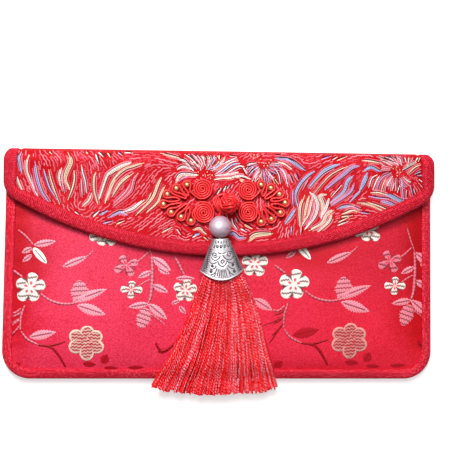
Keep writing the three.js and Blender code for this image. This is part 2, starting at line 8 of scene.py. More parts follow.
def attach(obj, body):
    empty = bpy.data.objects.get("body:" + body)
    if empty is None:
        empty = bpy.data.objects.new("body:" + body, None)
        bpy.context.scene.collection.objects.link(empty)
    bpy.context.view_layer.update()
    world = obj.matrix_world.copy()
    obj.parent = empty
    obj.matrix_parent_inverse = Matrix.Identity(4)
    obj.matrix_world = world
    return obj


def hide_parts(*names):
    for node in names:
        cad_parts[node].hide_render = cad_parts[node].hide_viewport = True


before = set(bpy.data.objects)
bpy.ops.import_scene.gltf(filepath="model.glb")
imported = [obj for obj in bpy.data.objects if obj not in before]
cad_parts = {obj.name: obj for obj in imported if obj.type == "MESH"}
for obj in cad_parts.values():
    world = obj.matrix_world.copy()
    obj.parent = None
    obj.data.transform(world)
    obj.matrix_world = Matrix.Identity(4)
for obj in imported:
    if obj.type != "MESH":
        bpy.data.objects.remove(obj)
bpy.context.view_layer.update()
mm = 0.001
print("frame loaded:", len(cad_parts), "nodes")


# small tools

def lerp(a, b, t):
    return a + (b - a) * t


def smooth(value, low, high):
    t = np.clip((np.asarray(value, float) - low) / (high - low), 0.0, 1.0)
    return t * t * (3.0 - 2.0 * t)


def tone(red, green, blue):  # screen colour 0 to 255 into linear light
    def one(c):
        c = c / 255.0
        return c / 12.92 if c <= 0.04045 else ((c + 0.055) / 1.055) ** 2.4
    return (one(red), one(green), one(blue), 1.0)


def curveThrough(points, steps):  # smooth line through given points
    p = np.asarray(points, float)
    out = []
    for i in range(len(p) - 1):
        b, c = p[i], p[i + 1]
        a = p[i - 1] if i > 0 else 2 * b - c
        d = p[i + 2] if i + 2 < len(p) else 2 * c - b
        for k in range(steps):
            t = k / steps
            out.append(0.5 * (2 * b + (c - a) * t + (2 * a - 5 * b + 4 * c - d) * t * t
                              + (3 * b - a - 3 * c + d) * t * t * t))
    return np.array(out + [p[-1]])


def lengthAlong(line):  # running length at each point of a line
    return np.concatenate([[0], np.cumsum(np.linalg.norm(np.diff(line, axis=0), axis=1))])


def fromEnds(count):  # steps to the nearer end
    return np.minimum(np.arange(count), np.arange(count)[::-1])


def rowsAt(marks, steps, rows):  # rows of values, read off at marks between the steps
    return np.stack([np.interp(marks, steps, rows[:, k]) for k in range(rows.shape[1])], -1)


def polar(x, y, radius, turn):
    return np.stack([x + radius * np.cos(turn), y + radius * np.sin(turn)], -1)


def bell(value, width):
    return np.exp(-(value / width) ** 2)


def hill(x, y, spot):  # a spot is its middle, its two radii and its height
    middleX, middleY, radiusX, radiusY, height = spot
    return height * np.exp(-((x - middleX) / radiusX) ** 2 - ((y - middleY) / radiusY) ** 2)


def gridFaces(rows, columns, start=0, wrap=False):
    r, c = np.meshgrid(np.arange(rows - 1), np.arange(columns if wrap else columns - 1), indexing="ij")
    a = r * columns + c
    b = r * columns + (c + 1) % columns
    return (np.stack([a, b, b + columns, a + columns], -1).reshape(-1, 4) + start).tolist()


def gridUv(along, across):  # one entry per face corner, in the order of gridFaces
    u, v = np.meshgrid(np.asarray(along, float), np.asarray(across, float), indexing="ij")
    corner = np.stack([u, v], -1)
    quads = np.stack([corner[:-1, :-1], corner[:-1, 1:], corner[1:, 1:], corner[1:, :-1]], 2)
    return quads.reshape(-1, 2)


def facedOut(points, faces):  # whether the faces of a closed shell point outwards
    p = np.asarray(points, float)
    volume = 0.0
    for face in faces:
        for k in range(1, len(face) - 1):
            volume += np.dot(p[face[0]], np.cross(p[face[k]], p[face[k + 1]]))
    return volume >= 0.0


def addPiece(name, points, faces, finish, uv=None, tint=None, closed=True):
    if closed and not facedOut(points, faces):
        faces = [list(reversed(f)) for f in faces]
        if uv is not None:
            ends = np.cumsum([len(f) for f in faces])
            uv = np.concatenate([uv[e - len(f):e][::-1] for e, f in zip(ends, faces)])
    mesh = bpy.data.meshes.new(name)
    mesh.from_pydata((np.asarray(points, float) * mm).tolist(), [], faces)
    if uv is not None:
        layer = mesh.uv_layers.new(name="UVMap")
        layer.data.foreach_set("uv", np.asarray(uv, np.float32).ravel())
    if tint is not None:
        layer = mesh.attributes.new("tint", "FLOAT_COLOR", "POINT")
        layer.data.foreach_set("color", np.asarray(tint, np.float32).ravel())
    mesh.shade_smooth()
    mesh.materials.append(finish)
    piece = bpy.data.objects.new(name, mesh)
    bpy.context.collection.objects.link(piece)
    return piece


def settle(piece, slot, *nodes):  # joins a finished piece to the frame
    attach(piece, "root")
    if nodes:
        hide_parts(*nodes)
    return piece


def wallOf(outer, inner):  # closed cloth between two grids of points
    rows, columns = outer.shape[:2]
    points = np.concatenate([outer.reshape(-1, 3), inner.reshape(-1, 3)])
    shift = rows * columns
    faces = gridFaces(rows, columns)
    faces += [[d, c, b, a] for a, b, c, d in gridFaces(rows, columns, shift)]
    rim = list(range(columns))
    rim += [r * columns + columns - 1 for r in range(1, rows)]
    rim += [(rows - 1) * columns + c for c in range(columns - 2, -1, -1)]
    rim += [r * columns for r in range(rows - 2, 0, -1)]
    for k, a in enumerate(rim):
        b = rim[(k + 1) % len(rim)]
        faces.append([b, a, shift + a, shift + b])
    return points, faces


def tubeOf(rings, closed=False, along=None, around=None):  # closed body through rings of points
    rings = np.asarray(rings, float)
    rows, size = rings.shape[:2]
    if closed:
        rings = np.concatenate([rings, rings[:1]])
        rows += 1
    along = np.arange(rows) if along is None else along
    around = np.linspace(0, 1, size + 1) if around is None else around
    points = rings.reshape(-1, 3)
    faces = gridFaces(rows, size, wrap=True)
    uv = gridUv(along, around)
    if closed:
        last = (rows - 1) * size
        faces = [[v - last if v >= last else v for v in f] for f in faces]
        return points[:last], faces, uv
    ends = []
    for ring, turned in ((0, True), (rows - 1, False)):
        face = [ring * size + k for k in range(size)]
        faces.append(face[::-1] if turned else face)
        ends.append(np.tile([along[ring], 0.5], (size, 1)))
    return points, faces, np.concatenate([uv] + ends)


# shading tools

def newFinish(name, **sockets):
    finish = bpy.data.materials.new(name)
    finish.use_nodes = True
    shader = finish.node_tree.nodes["Principled BSDF"]
    for key, value in sockets.items():
        shader.inputs[key.replace("_", " ")].default_value = value
    return finish, finish.node_tree, shader


def wire(tree, value, socket):
    if isinstance(value, bpy.types.NodeSocket):
        tree.links.new(value, socket)
    else:
        socket.default_value = value


def put(tree, kind, wires=None, **settings):
    node = tree.nodes.new(kind)
    for key, value in settings.items():
        setattr(node, key, value)
    for key, value in (wires or {}).items():
        wire(tree, value, node.inputs[key])
    return node


def calc(tree, operation, a, b=0.0, c=0.0):
    node = put(tree, "ShaderNodeMath", operation=operation)
    for socket, value in zip(node.inputs, (a, b, c)):
        wire(tree, value, socket)
    return node.outputs[0]


def blend(tree, share, first, second, kind="MIX"):
    node = put(tree, "ShaderNodeMix", data_type="RGBA", blend_type=kind)
    wire(tree, share, node.inputs["Factor"])
    wire(tree, first, node.inputs["A"])
    wire(tree, second, node.inputs["B"])
    return node.outputs["Result"]


def product(tree, first, second):
    return blend(tree, 1.0, first, second, "MULTIPLY")


def ramp(tree, value, low, high):  # 0 to 1 between two values
    node = put(tree, "ShaderNodeMapRange", {"Value": value, "From Min": low, "From Max": high})
    return node.outputs["Result"]


def grain(tree, coords, scale, detail=2.0, stretch=(1.0, 1.0, 1.0)):
    moved = put(tree, "ShaderNodeMapping", {"Vector": coords, "Scale": stretch})
    noise = put(tree, "ShaderNodeTexNoise", {"Vector": moved.outputs[0], "Scale": scale, "Detail": detail})
    return noise.outputs["Fac"]


def objectSpot(tree):
    return put(tree, "ShaderNodeTexCoord").outputs["Object"]


def mapSpot(tree):
    return put(tree, "ShaderNodeTexCoord").outputs["UV"]


def attribute(tree, name, output="Fac"):
    return put(tree, "ShaderNodeAttribute", attribute_name=name).outputs[output]


def bump(tree, shader, height, distance, strength=1.0):
    node = put(tree, "ShaderNodeBump", {"Height": height, "Distance": distance, "Strength": strength})
    tree.links.new(node.outputs[0], shader.inputs["Normal"])


# geometry node tools

def newTree(name, inputs):
    tree = bpy.data.node_groups.new(name, "GeometryNodeTree")
    tree.interface.new_socket("Geometry", in_out="INPUT", socket_type="NodeSocketGeometry")
    for label, kind, value in inputs:
        socket = tree.interface.new_socket(label, in_out="INPUT", socket_type=kind)
        socket.default_value = value
    tree.interface.new_socket("Geometry", in_out="OUTPUT", socket_type="NodeSocketGeometry")
    start = tree.nodes.new("NodeGroupInput")
    end = tree.nodes.new("NodeGroupOutput")
    return tree, start, end


def endTree(tree, geometry, finish, end):  # the last nodes of every tree
    real = put(tree, "GeometryNodeRealizeInstances", {"Geometry": geometry})
    rounded = put(tree, "GeometryNodeSetShadeSmooth", {"Geometry": real.outputs[0]})
    paint = put(tree, "GeometryNodeSetMaterial", {"Geometry": rounded.outputs[0], "Material": finish})
    tree.links.new(paint.outputs[0], end.inputs[0])
    return tree


def named(tree, name, kind):  # values stored on the guide
    node = put(tree, "GeometryNodeInputNamedAttribute", {"Name": name}, data_type=kind)
    return node.outputs["Attribute"]


def grow(piece, tree, values):  # runs a tree on a piece and keeps the plain mesh
    modifier = piece.modifiers.new(tree.name, "NODES")
    modifier.node_group = tree
    for item in tree.interface.items_tree:
        if item.in_out == "INPUT" and item.name in values:
            modifier[item.identifier] = values[item.name]
    bpy.context.view_layer.update()
    depsgraph = bpy.context.evaluated_depsgraph_get()
    made = bpy.data.meshes.new_from_object(piece.evaluated_get(depsgraph),
                                           preserve_all_data_layers=True, depsgraph=depsgraph)
    piece.modifiers.remove(modifier)
    guide = piece.data
    piece.data = made
    made.name = piece.name
    bpy.data.meshes.remove(guide)
    return piece


def guideMesh(name, lines, attributes):  # loose lines with values at their points
    points, edges = [], []
    for line in lines:
        start = len(points)
        points += (np.asarray(line, float) * mm).tolist()
        edges += [(start + k, start + k + 1) for k in range(len(line) - 1)]
        if len(line) > 3 and np.allclose(line[0], line[-1]):  # closed on itself
            edges[-1] = (start + len(line) - 2, start)
    mesh = bpy.data.meshes.new(name)
    mesh.from_pydata(points, edges, [])
    for key, (kind, values) in attributes.items():
        layer = mesh.attributes.new(key, kind, "POINT")
        field = {"FLOAT": "value", "FLOAT_VECTOR": "vector", "FLOAT_COLOR": "color"}[kind]
        layer.data.foreach_set(field, np.asarray(values, np.float32).ravel())
    piece = bpy.data.objects.new(name, mesh)
    bpy.context.collection.objects.link(piece)
    return piece


# the pouch's own shape, in millimetres: x across, y towards the fold, z up
pouch = {
    "width": 199.0, "foldWidth": 195.2, "height": 105.0,
    "foldY": 56.3, "bottomY": -48.7, "mouthY": 44.3, "corner": 13.0,
    "cloth": 1.3, "tapeWidth": 6.2, "bodyTape": 4.6, "gap": 0.28, "inset": 1.28,
    "puff": 6.8, "sideCurve": (5, 0.8), "footRise": 50.0, "footCurve": (3.2, 0.9),
    "neckDrop": 0.25, "neckStart": 10.0, "backLift": 1.33, "backStart": 0.4, "backRamp": 5.0, "seamTop": 4.21,
    "dents": [(-86, 18, 12, 26, 1.0), (86, 8, 11, 24, 0.9), (-30, -30, 26, 12, 0.5), (62, -28, 30, 13, 0.6)],
    "pucker": 0.16, "puckerPitch": 8.5, "puckerDrift": (1.7, 0.21), "puckerStart": (-3.0, 2.0),
    "puckerFade": 5.0, "sway": 0.10, "swayRun": (0.11, 1.3, 0.07), "swayStart": (2, 14),
}
flapCut = {
    "half": 98.8, "tipY": 8.4, "arc": 190.0, "corner": 5.0,
    "standoff": 1.56, "edgeLift": 0.25, "reach": 6.0, "pinch": 1.6,
    "swell": 0.08, "swellRun": (0.16, 0.23), "swellTop": (50.0, 8), "swellStart": (4, 12),
}


def outlineHalf(y):
    return lerp(pouch["width"], pouch["foldWidth"], (y - pouch["bottomY"]) / pouch["height"]) / 2


def panelHalf(y):
    radius = pouch["corner"] - pouch["inset"]
    short = np.clip(radius - (y - pouch["bottomY"] - pouch["inset"]), 0, radius)
    return outlineHalf(y) - pouch["inset"] - (radius - np.sqrt(radius * radius - short * short))


def edgeDistance(x, y):
    fromSide = outlineHalf(y) - np.abs(x)
    fromBottom = y - pouch["bottomY"]
    r = pouch["corner"]
    rounded = r - np.hypot(r - fromSide, r - fromBottom)
    return np.where((fromSide < r) & (fromBottom < r), rounded, np.minimum(fromSide, fromBottom))


def sidePuff(u):
    inner, outer = pouch["sideCurve"]
    return np.maximum(0, 1 - np.abs(u) ** inner) ** outer


def neckPuff(y):
    return 1 - pouch["neckDrop"] * smooth(y, pouch["neckStart"], pouch["mouthY"])


def frontTop(x, y):
    x, y = np.asarray(x, float), np.asarray(y, float)
    rise = np.clip((y - pouch["bottomY"] - pouch["inset"]) / pouch["footRise"], 0, 1)
    inner, outer = pouch["footCurve"]
    foot = (1 - (1 - rise) ** inner) ** outer
    dent = sum(hill(x, y, spot) for spot in pouch["dents"])
    return pouch["seamTop"] + sidePuff(x / panelHalf(y)) * foot * (pouch["puff"] * neckPuff(y) - dent)


def satinTop(x, y):  # the front with the small puckers that the bound seam pulls in
    x, y = np.asarray(x, float), np.asarray(y, float)
    depth = edgeDistance(x, y) - pouch["bodyTape"]
    alongSeam = np.where(outlineHalf(y) - np.abs(x) < y - pouch["bottomY"], y, x)
    drift, driftRun = pouch["puckerDrift"]
    wave = np.sin(alongSeam * 2 * np.pi / pouch["puckerPitch"] + drift * np.sin(alongSeam * driftRun))
    fade = smooth(depth, *pouch["puckerStart"]) * np.exp(-np.maximum(depth, 0) / pouch["puckerFade"])
    runX, bend, runY = pouch["swayRun"]
    sway = pouch["sway"] * np.sin(x * runX + bend * np.sin(y * runY)) * smooth(depth, *pouch["swayStart"])
    return frontTop(x, y) + pouch["pucker"] * wave * fade + sway


def backUnder(x, y):
    tapeEnd = pouch["tapeWidth"]
    flat = smooth(edgeDistance(x, y), tapeEnd + pouch["backStart"], tapeEnd + pouch["backRamp"])
    return pouch["backLift"] * (1 - flat)


def flapUnder(x, y):
    share = flapCut["edgeLift"] + (1 - flapCut["edgeLift"]) * sidePuff(x / flapCut["half"])
    return pouch["seamTop"] + pouch["puff"] * neckPuff(y) * share + flapCut["standoff"]


def flapTop(x, y):
    return flapUnder(x, y) + pouch["cloth"]


def flapSwell(x, y):  # faint waves of the padded brocade
    inner = y - flapEdgeY(x, 0)
    runX, runY = flapCut["swellRun"]
    top, fade = flapCut["swellTop"]
    wave = flapCut["swell"] * np.sin(x * runX + y * runY)
    return wave * smooth(top - y, 0, fade) * smooth(inner, *flapCut["swellStart"])


def flapEdgeY(x, inset):
    radius = flapCut["arc"] - inset
    corner = flapCut["corner"] - inset
    past = np.clip(np.abs(x) - (flapCut["half"] - inset - corner), 0, corner)
    curve = flapCut["tipY"] + flapCut["arc"] - np.sqrt(radius * radius - np.asarray(x, float) ** 2)
    return curve + corner - np.sqrt(corner * corner - past * past)


def foldSkin(x, step):  # skin of the flap's tail (below 0) and of its fold (0 to 1)
    x = np.asarray(x, float)
    foldStart = pouch["foldY"] - flapCut["reach"]
    turn = math.pi * (min(max(step, 0.0), 1.0) - 0.5)
    low, high = backUnder(x, np.full_like(x, pouch["mouthY"])), flapTop(x, foldStart)
    half = (high - low) / 2
    edge = flapCut["half"] - pouch["tapeWidth"]
    reach = flapCut["reach"] - smooth(np.abs(x), edge - 0.5, edge + 0.05) * pouch["inset"]
    px = x * (1 - flapCut["pinch"] / flapCut["half"] * math.cos(turn) ** 3)
    py = foldStart + reach * math.cos(turn)
    if step < 0:
        py = np.full_like(x, pouch["mouthY"] + pouch["gap"])
    pz = low + half * (1 + math.sin(turn))
    normal = np.stack([np.zeros_like(x), math.cos(turn) / reach, math.sin(turn) / half], -1)
    normal /= np.linalg.norm(normal, axis=-1, keepdims=True)
    outer = np.stack([px, py, pz], -1)
    return outer, normal


foldSteps = [-1.0] + np.linspace(0, 1, 25).tolist()  # the tail's end, then round the fold


# camera and studio
studio = {
    "place": (-47.36, 31.78, 603.17), "turn": (-1.388, -5.13, 0.695), "lens": 100.0, "sensor": 36.0,
    "near": 0.01, "far": 20.0, "sky": (1.0, 0.985, 0.98), "skyStrength": 0.2,
    "floor": tone(253, 252, 252), "floorShade": tone(248, 247, 247), "floorHalf": 3000.0, "floorTop": -0.1,
    "floorGrain": 9.0, "glow": 0.5,
    # name, place and aim in metres, size, power, colour
    "lamps": [
        ("keyLamp", (-0.2, 0.54, 0.62), (-0.02, 0.0, 0.0), 0.18, 6.8, (1.0, 0.985, 0.97)),
        ("topLamp", (-0.06, 0.40, 0.82), (0.0, 0.0, 0.0), 0.3, 4.2, (1.0, 0.99, 0.985)),
        ("fillLamp", (0.45, -0.16, 0.55), (0.0, 0.0, 0.0), 0.4, 0.4, (1.0, 0.99, 0.985)),
    ],
}


def setCamera():
    camera = bpy.data.cameras.new("camera")
    camera.lens, camera.sensor_width = studio["lens"], studio["sensor"]
    camera.clip_start, camera.clip_end = studio["near"], studio["far"]
    eye = bpy.data.objects.new("camera", camera)
    eye.location = Vector(studio["place"]) * mm
    eye.rotation_euler = [math.radians(a) for a in studio["turn"]]
    bpy.context.collection.objects.link(eye)
    bpy.context.scene.camera = eye


def addLamp(name, place, aim, size, power, colour):
    lamp = bpy.data.lights.new(name, "AREA")
    lamp.shape = "RECTANGLE"
    lamp.size = lamp.size_y = size
    lamp.energy = power
    lamp.color = colour
    holder = bpy.data.objects.new(name, lamp)
    holder.location = place
    holder.rotation_euler = (Vector(aim) - Vector(place)).to_track_quat("-Z", "Y").to_euler()
    bpy.context.collection.objects.link(holder)


def floorFinish():  # paper with a glow for the camera alone, which lights no piece
    finish, tree, shader = newFinish("floorPaper", Roughness=0.85, Emission_Color=(1.0, 1.0, 1.0, 1.0))
    shade = grain(tree, objectSpot(tree), studio["floorGrain"], 3.0)
    wire(tree, blend(tree, shade, studio["floor"], studio["floorShade"]), shader.inputs["Base Color"])
    seen = put(tree, "ShaderNodeLightPath").outputs["Is Camera Ray"]
    wire(tree, calc(tree, "MULTIPLY", seen, studio["glow"]), shader.inputs["Emission Strength"])
    return finish


def setStudio():
    scene = bpy.context.scene
    scene.view_settings.view_transform = "Standard"
    world = bpy.data.worlds.new("studio")
    world.use_nodes = True
    sky = world.node_tree.nodes["Background"]
    sky.inputs["Color"].default_value = (*studio["sky"], 1.0)
    sky.inputs["Strength"].default_value = studio["skyStrength"]
    scene.world = world
    for lamp in studio["lamps"]:
        addLamp(*lamp)
    half, top = studio["floorHalf"], studio["floorTop"]
    corners = [(-half, -half, top), (half, -half, top), (half, half, top), (-half, half, top)]
    addPiece("floor", corners, [[0, 1, 2, 3]], floorFinish(), closed=False)


setCamera()
setStudio()
print("camera and studio set")

# satin of the body
satin = {
    "lit": tone(240, 58, 90), "deep": tone(208, 28, 54), "thread": (900.0, 4200.0, 900.0),
    "frontGrid": (90, 180), "backGrid": (54, 110),
    # colour factors, all painted: shade by the tape and in the pools, a gradient from shade at the neck to
    # light at the foot, light on the left and shade on the right
    "paintedShade": (0.73, 0.14, 0.18), "glow": (0.84, 1.14), "leftPaintedLight": (1.01, 1.42, 1.36),
    "rightPaintedShade": (0.94, 0.68, 0.66), "sideShadeReach": 7.5, "sideShadeIn": 2.5, "sideShadeDepth": (0.3, 1.0),
    "footShadeReach": 4.0, "footShadeDepth": (0.08, 0.38),
    # where the painted side shade and the painted glow begin and end along y, and the painted foot shade and
    # the painted side light along x
    "sideShadeSpan": (-46.0, -24.0), "paintedLightSpan": (12.0, -34.0), "footShadeSpan": (-60.0, 40.0), "paintedSideSpan": (-60.0, 70.0),
    # painted shadow pools, each a middle, two radii and a depth
    "shadowPools": [(-86, 4, 8, 20, 0.9), (43, 8, 16, 6, 0.7), (-86, -25, 7, 8, 0.7), (86, -18, 8, 16, 0.85),
              (88, 20, 6, 12, 0.6), (76, -36, 10, 5, 0.35)],
}


def satinFinish():
    finish, tree, shader = newFinish("redSatin", Roughness=0.42, Anisotropic=0.35, Sheen_Weight=0.03,
                                     Sheen_Roughness=0.35, Sheen_Tint=tone(255, 120, 150), Metallic=0.2,
                                     Specular_IOR_Level=0.18)
    spot = objectSpot(tree)
    thread = grain(tree, spot, 1.0, 2.0, satin["thread"])
    cloud = grain(tree, spot, 38.0, 3.0)
    fine = grain(tree, spot, 2300.0, 1.0)
    share = calc(tree, "ADD", calc(tree, "MULTIPLY", thread, 0.55), calc(tree, "MULTIPLY", fine, 0.35))
    share = calc(tree, "ADD", share, calc(tree, "MULTIPLY", calc(tree, "SUBTRACT", cloud, 0.5), 0.5))
    speck = grain(tree, spot, 1750.0, 1.0)
    share = calc(tree, "MULTIPLY_ADD", calc(tree, "SUBTRACT", speck, 0.5), 1.25, share)
    red = blend(tree, ramp(tree, share, 0.2, 0.75), satin["deep"], satin["lit"])
    # the tint attribute carries the satin's painted light and shade
    wire(tree, product(tree, red, attribute(tree, "tint", "Color")), shader.inputs["Base Color"])
    gloss = calc(tree, "MULTIPLY_ADD", calc(tree, "ADD", thread, fine), -0.12, 0.58)
    wire(tree, gloss, shader.inputs["Roughness"])
    bump(tree, shader, calc(tree, "ADD", thread, fine), 0.00008, 0.5)
    return finish


satinRed = satinFinish()


def panelGrid(rows, columns):  # places on a wall of the pocket, closer together near its edges
    s = np.linspace(-1, 1, columns)
    low = pouch["bottomY"] + pouch["inset"]
    y = low + (pouch["mouthY"] - low) * np.linspace(0, 1, rows) ** 1.12
    yy = np.repeat(y[:, None], columns, 1)
    return panelHalf(yy) * (s * (1.25 - 0.25 * s * s))[None, :], yy


def satinPaintedLight(xx, yy):  # painted shade by the side and bottom tape and in shadow pools; painted light towards the foot and on the left, painted shade on the right
    inside = outlineHalf(yy) - np.abs(xx) - pouch["bodyTape"] - satin["sideShadeIn"]
    side = bell(inside, satin["sideShadeReach"]) * lerp(*satin["sideShadeDepth"], smooth(yy, *satin["sideShadeSpan"]))
    above = yy - pouch["bottomY"] - pouch["bodyTape"]
    foot = lerp(*satin["footShadeDepth"], smooth(xx, *satin["footShadeSpan"])) * bell(above, satin["footShadeReach"])
    paintedShade = np.maximum.reduce([side, foot] + [hill(xx, yy, pool) for pool in satin["shadowPools"]])[..., None]
    # painted light: darker at the neck, paler towards the foot
    glow = lerp(*satin["glow"], smooth(yy, *satin["paintedLightSpan"]))[..., None]
    right = smooth(xx, *satin["paintedSideSpan"])[..., None]
    paintedSideLight = lerp(np.array(satin["leftPaintedLight"]), np.array(satin["rightPaintedShade"]), right)
    colour = glow * paintedSideLight * (1 + (np.array(satin["paintedShade"]) - 1) * paintedShade)
    return np.concatenate([colour, np.ones_like(paintedShade)], -1).reshape(-1, 4)


def frontWall():
    xx, yy = panelGrid(*satin["frontGrid"])
    outer = np.stack([xx, yy, satinTop(xx, yy)], -1)
    points, faces = wallOf(outer, outer - np.array([0, 0, pouch["cloth"]]))
    tint = np.tile(satinPaintedLight(xx, yy), (2, 1))
    return settle(addPiece("satinFront", points, faces, satinRed, tint=tint), "satin", "front_panel")


def backWall():
    xx, yy = panelGrid(*satin["backGrid"])
    outer = np.stack([xx, yy, backUnder(xx, yy)], -1)
    points, faces = wallOf(outer, outer + np.array([0, 0, pouch["cloth"]]))
    tint = np.ones((len(points), 4))
    return settle(addPiece("satinBack", points, faces, satinRed, tint=tint), "satin", "back_panel")


frontSatin = frontWall()
backSatin = backWall()
print("satin walls made")

# brocade of the flap
brocade = {
    "ground": tone(200, 4, 24), "deep": tone(152, 0, 12), "stipple": tone(240, 92, 112),
    "columns": 170, "rows": 56, "twillTurn": math.radians(34),
}


def brocadeFinish():
    finish, tree, shader = newFinish("redBrocade", Roughness=0.5, Sheen_Weight=0.02, Sheen_Roughness=0.4,
                                     Sheen_Tint=tone(255, 130, 150), Metallic=0.15, Specular_IOR_Level=0.1)
    spot = objectSpot(tree)
    turned = put(tree, "ShaderNodeMapping", {"Vector": spot, "Rotation": (0, 0, brocade["twillTurn"])})
    twill = put(tree, "ShaderNodeTexWave", {"Vector": turned.outputs[0], "Scale": 420.0, "Distortion": 1.2,
                                            "Detail": 1.0, "Detail Scale": 2.0})
    speck = grain(tree, spot, 1500.0, 1.0)
    patch = grain(tree, spot, 120.0, 2.0, (1.0, 0.55, 1.0))
    dots = calc(tree, "MULTIPLY", ramp(tree, speck, 0.52, 0.68), ramp(tree, patch, 0.46, 0.62))
    ground = blend(tree, twill.outputs["Fac"], brocade["deep"], brocade["ground"])
    dotted = blend(tree, calc(tree, "MULTIPLY", dots, 0.75), ground, brocade["stipple"])
    wire(tree, dotted, shader.inputs["Base Color"])
    bump(tree, shader, calc(tree, "ADD", twill.outputs["Fac"], speck), 0.00012, 0.6)
    return finish


brocadeRed = brocadeFinish()


def flapWall():
    s = np.linspace(-1, 1, brocade["columns"])
    x = (flapCut["half"] - pouch["inset"]) * s * (1.2 - 0.2 * s * s)
    outer, inner = [], []
    for step in foldSteps:
        skin, normal = foldSkin(x, step)
        outer.append(skin)
        inner.append(skin - normal * pouch["cloth"])
    top = pouch["foldY"] - flapCut["reach"]
    foot = flapEdgeY(x, pouch["inset"])
    for share in np.linspace(0, 1, brocade["rows"])[1:]:
        y = lerp(top, foot, share)
        outer.append(np.stack([x, y, flapTop(x, y) + flapSwell(x, y)], -1))
        inner.append(np.stack([x, y, flapUnder(x, y)], -1))
    points, faces = wallOf(np.array(outer), np.array(inner))
    return settle(addPiece("brocadeFlap", points, faces, brocadeRed), "brocade", "flap")


flapCloth = flapWall()
print("flap made")

# folded tape along the edges
tape = {
    # the section from the front leg round the edge to the back leg: way in from the edge, side, height
    "section": [(6.2, 1, 0.12), (6.25, 1, 0.45), (6.05, 1, 0.82), (5.5, 1, 1.04), (4.6, 1, 1.16),
                (3.5, 1, 1.26), (2.4, 1, 1.28), (1.5, 1, 1.2), (0.8, 1, 0.95), (0.25, 1, 0.45), (0.0, 0, 0.0),
                (0.25, -1, 0.45), (0.8, -1, 0.95), (1.5, -1, 1.2), (2.4, -1, 1.27), (3.5, -1, 1.26),
                (4.6, -1, 1.16), (5.5, -1, 1.04), (6.05, -1, 0.82), (6.25, -1, 0.45), (6.2, -1, 0.12),
                (4.0, -1, 0.12), (1.1, -1, 0.12), (1.1, 1, 0.12), (4.0, 1, 0.12)],
    "crest": 5, "mapScale": 10, "red": tone(228, 24, 52), "deep": tone(132, 0, 16), "lit": tone(254, 88, 110),
    "ribPitch": 1.12, "ribLength": 1.5, "ribThick": 0.34, "ribSlant": 0.42, "ribPlace": 4.75, "ribRise": 1.12,
    "ribSeed": 4, "ribWobble": 0.12, "ribDeep": tone(214, 22, 50), "ribLit": tone(250, 64, 92),
    # how much of the leg is left where the flap's corner turns, and the stations there
    "cornerLegs": [(98.79, 0.9), (98.0, 0.81), (96.6, 0.78), (94.2, 0.84), (88.0, 1.0), (0.0, 1.0)],
    "cornerPlaces": [98.79, 98.6, 98.3, 97.9, 97.3, 96.6, 95.8, 95.0, 94.2, 93.2, 92.0],
}
up = np.array([0.0, 0.0, 1.0])


def tapeFinish(name, shade, flecks):
    finish, tree, shader = newFinish(name, Roughness=0.72, Sheen_Weight=0.02, Sheen_Roughness=0.5,
                                     Sheen_Tint=tone(255, 130, 150), Specular_IOR_Level=0.1)
    # shade scales the tape's tones; the flap's darker copy is painted shade
    deep, red, lit = (tuple(c * shade for c in tape[key][:3]) + (1.0,) for key in ("deep", "red", "lit"))
    spot = mapSpot(tree)
    ribs = put(tree, "ShaderNodeTexWave", {"Vector": spot, "Scale": 5.4, "Distortion": 1.6, "Detail": 2.0,
                                           "Detail Scale": 6.0}, bands_direction="DIAGONAL")
    knit = grain(tree, spot, 8.0, 2.0, (1.4, 1.0, 1.0))
    wear = grain(tree, objectSpot(tree), 60.0, 3.0)
    share = calc(tree, "MULTIPLY", ribs.outputs["Fac"], 0.45)
    share = calc(tree, "ADD", share, calc(tree, "MULTIPLY", knit, 0.7))
    base = blend(tree, ramp(tree, share, 0.42, 0.62), deep, red)
    fleck = calc(tree, "ADD", ramp(tree, grain(tree, spot, 9.0, 1.0, (1.0, 1.5, 1.0)), 0.5, 0.66),
                 calc(tree, "MULTIPLY", ramp(tree, wear, 0.45, 0.75), 0.25))
    wire(tree, blend(tree, calc(tree, "MULTIPLY", fleck, flecks), base, lit), shader.inputs["Base Color"])
    bump(tree, shader, share, 0.00025, 0.7)
    return finish


def ribFinish():
    finish, tree, shader = newFinish("tapeRib", Roughness=0.65, Specular_IOR_Level=0.2)
    speck = grain(tree, objectSpot(tree), 900.0, 1.0)
    wire(tree, blend(tree, speck, tape["ribDeep"], tape["ribLit"]), shader.inputs["Base Color"])
    bump(tree, shader, speck, 0.0001, 0.5)
    return finish


# the flap's tape is a darker copy of the same tape: painted shade
tapeRed = tapeFinish("redTape", 0.95, 0.65)
flapTapeShadedRed = tapeFinish("flapTapeShadedRed", 0.76, 0.42)
ribRed = ribFinish()


def bodyStation(reachSpot):  # skins of the body under the tape, by distance in from the edge
    def at(reach):
        x, y = reachSpot(reach)
        front = np.array([x, y, float(frontTop(x, y))])
        back = np.array([x, y, float(backUnder(x, y))])
        return front, back, up
    return at


def flapStation(skinAt):
    def at(reach):
        outer, normal = skinAt(reach)
        return outer, outer - normal * pouch["cloth"], normal
    return at


def bodyEdge():
    stations = []
    leg = pouch["bodyTape"] / pouch["tapeWidth"]
    cornerY = pouch["bottomY"] + pouch["corner"]
    cornerX = float(outlineHalf(cornerY)) - pouch["corner"]
    for y in np.linspace(pouch["mouthY"], cornerY, 46)[:-1]:
        stations.append((bodyStation(lambda r, y=y: (float(outlineHalf(y)) - r, y)), leg))
    for turn in np.linspace(0, math.pi / 2, 22)[:-1]:
        def spot(r, turn=turn):
            reach = pouch["corner"] - r
            return cornerX + reach * math.cos(turn), cornerY - reach * math.sin(turn)
        stations.append((bodyStation(spot), leg))
    for x in np.linspace(cornerX, 0, 50):
        stations.append((bodyStation(lambda r, x=x: (x, pouch["bottomY"] + r)), leg))
    return stations


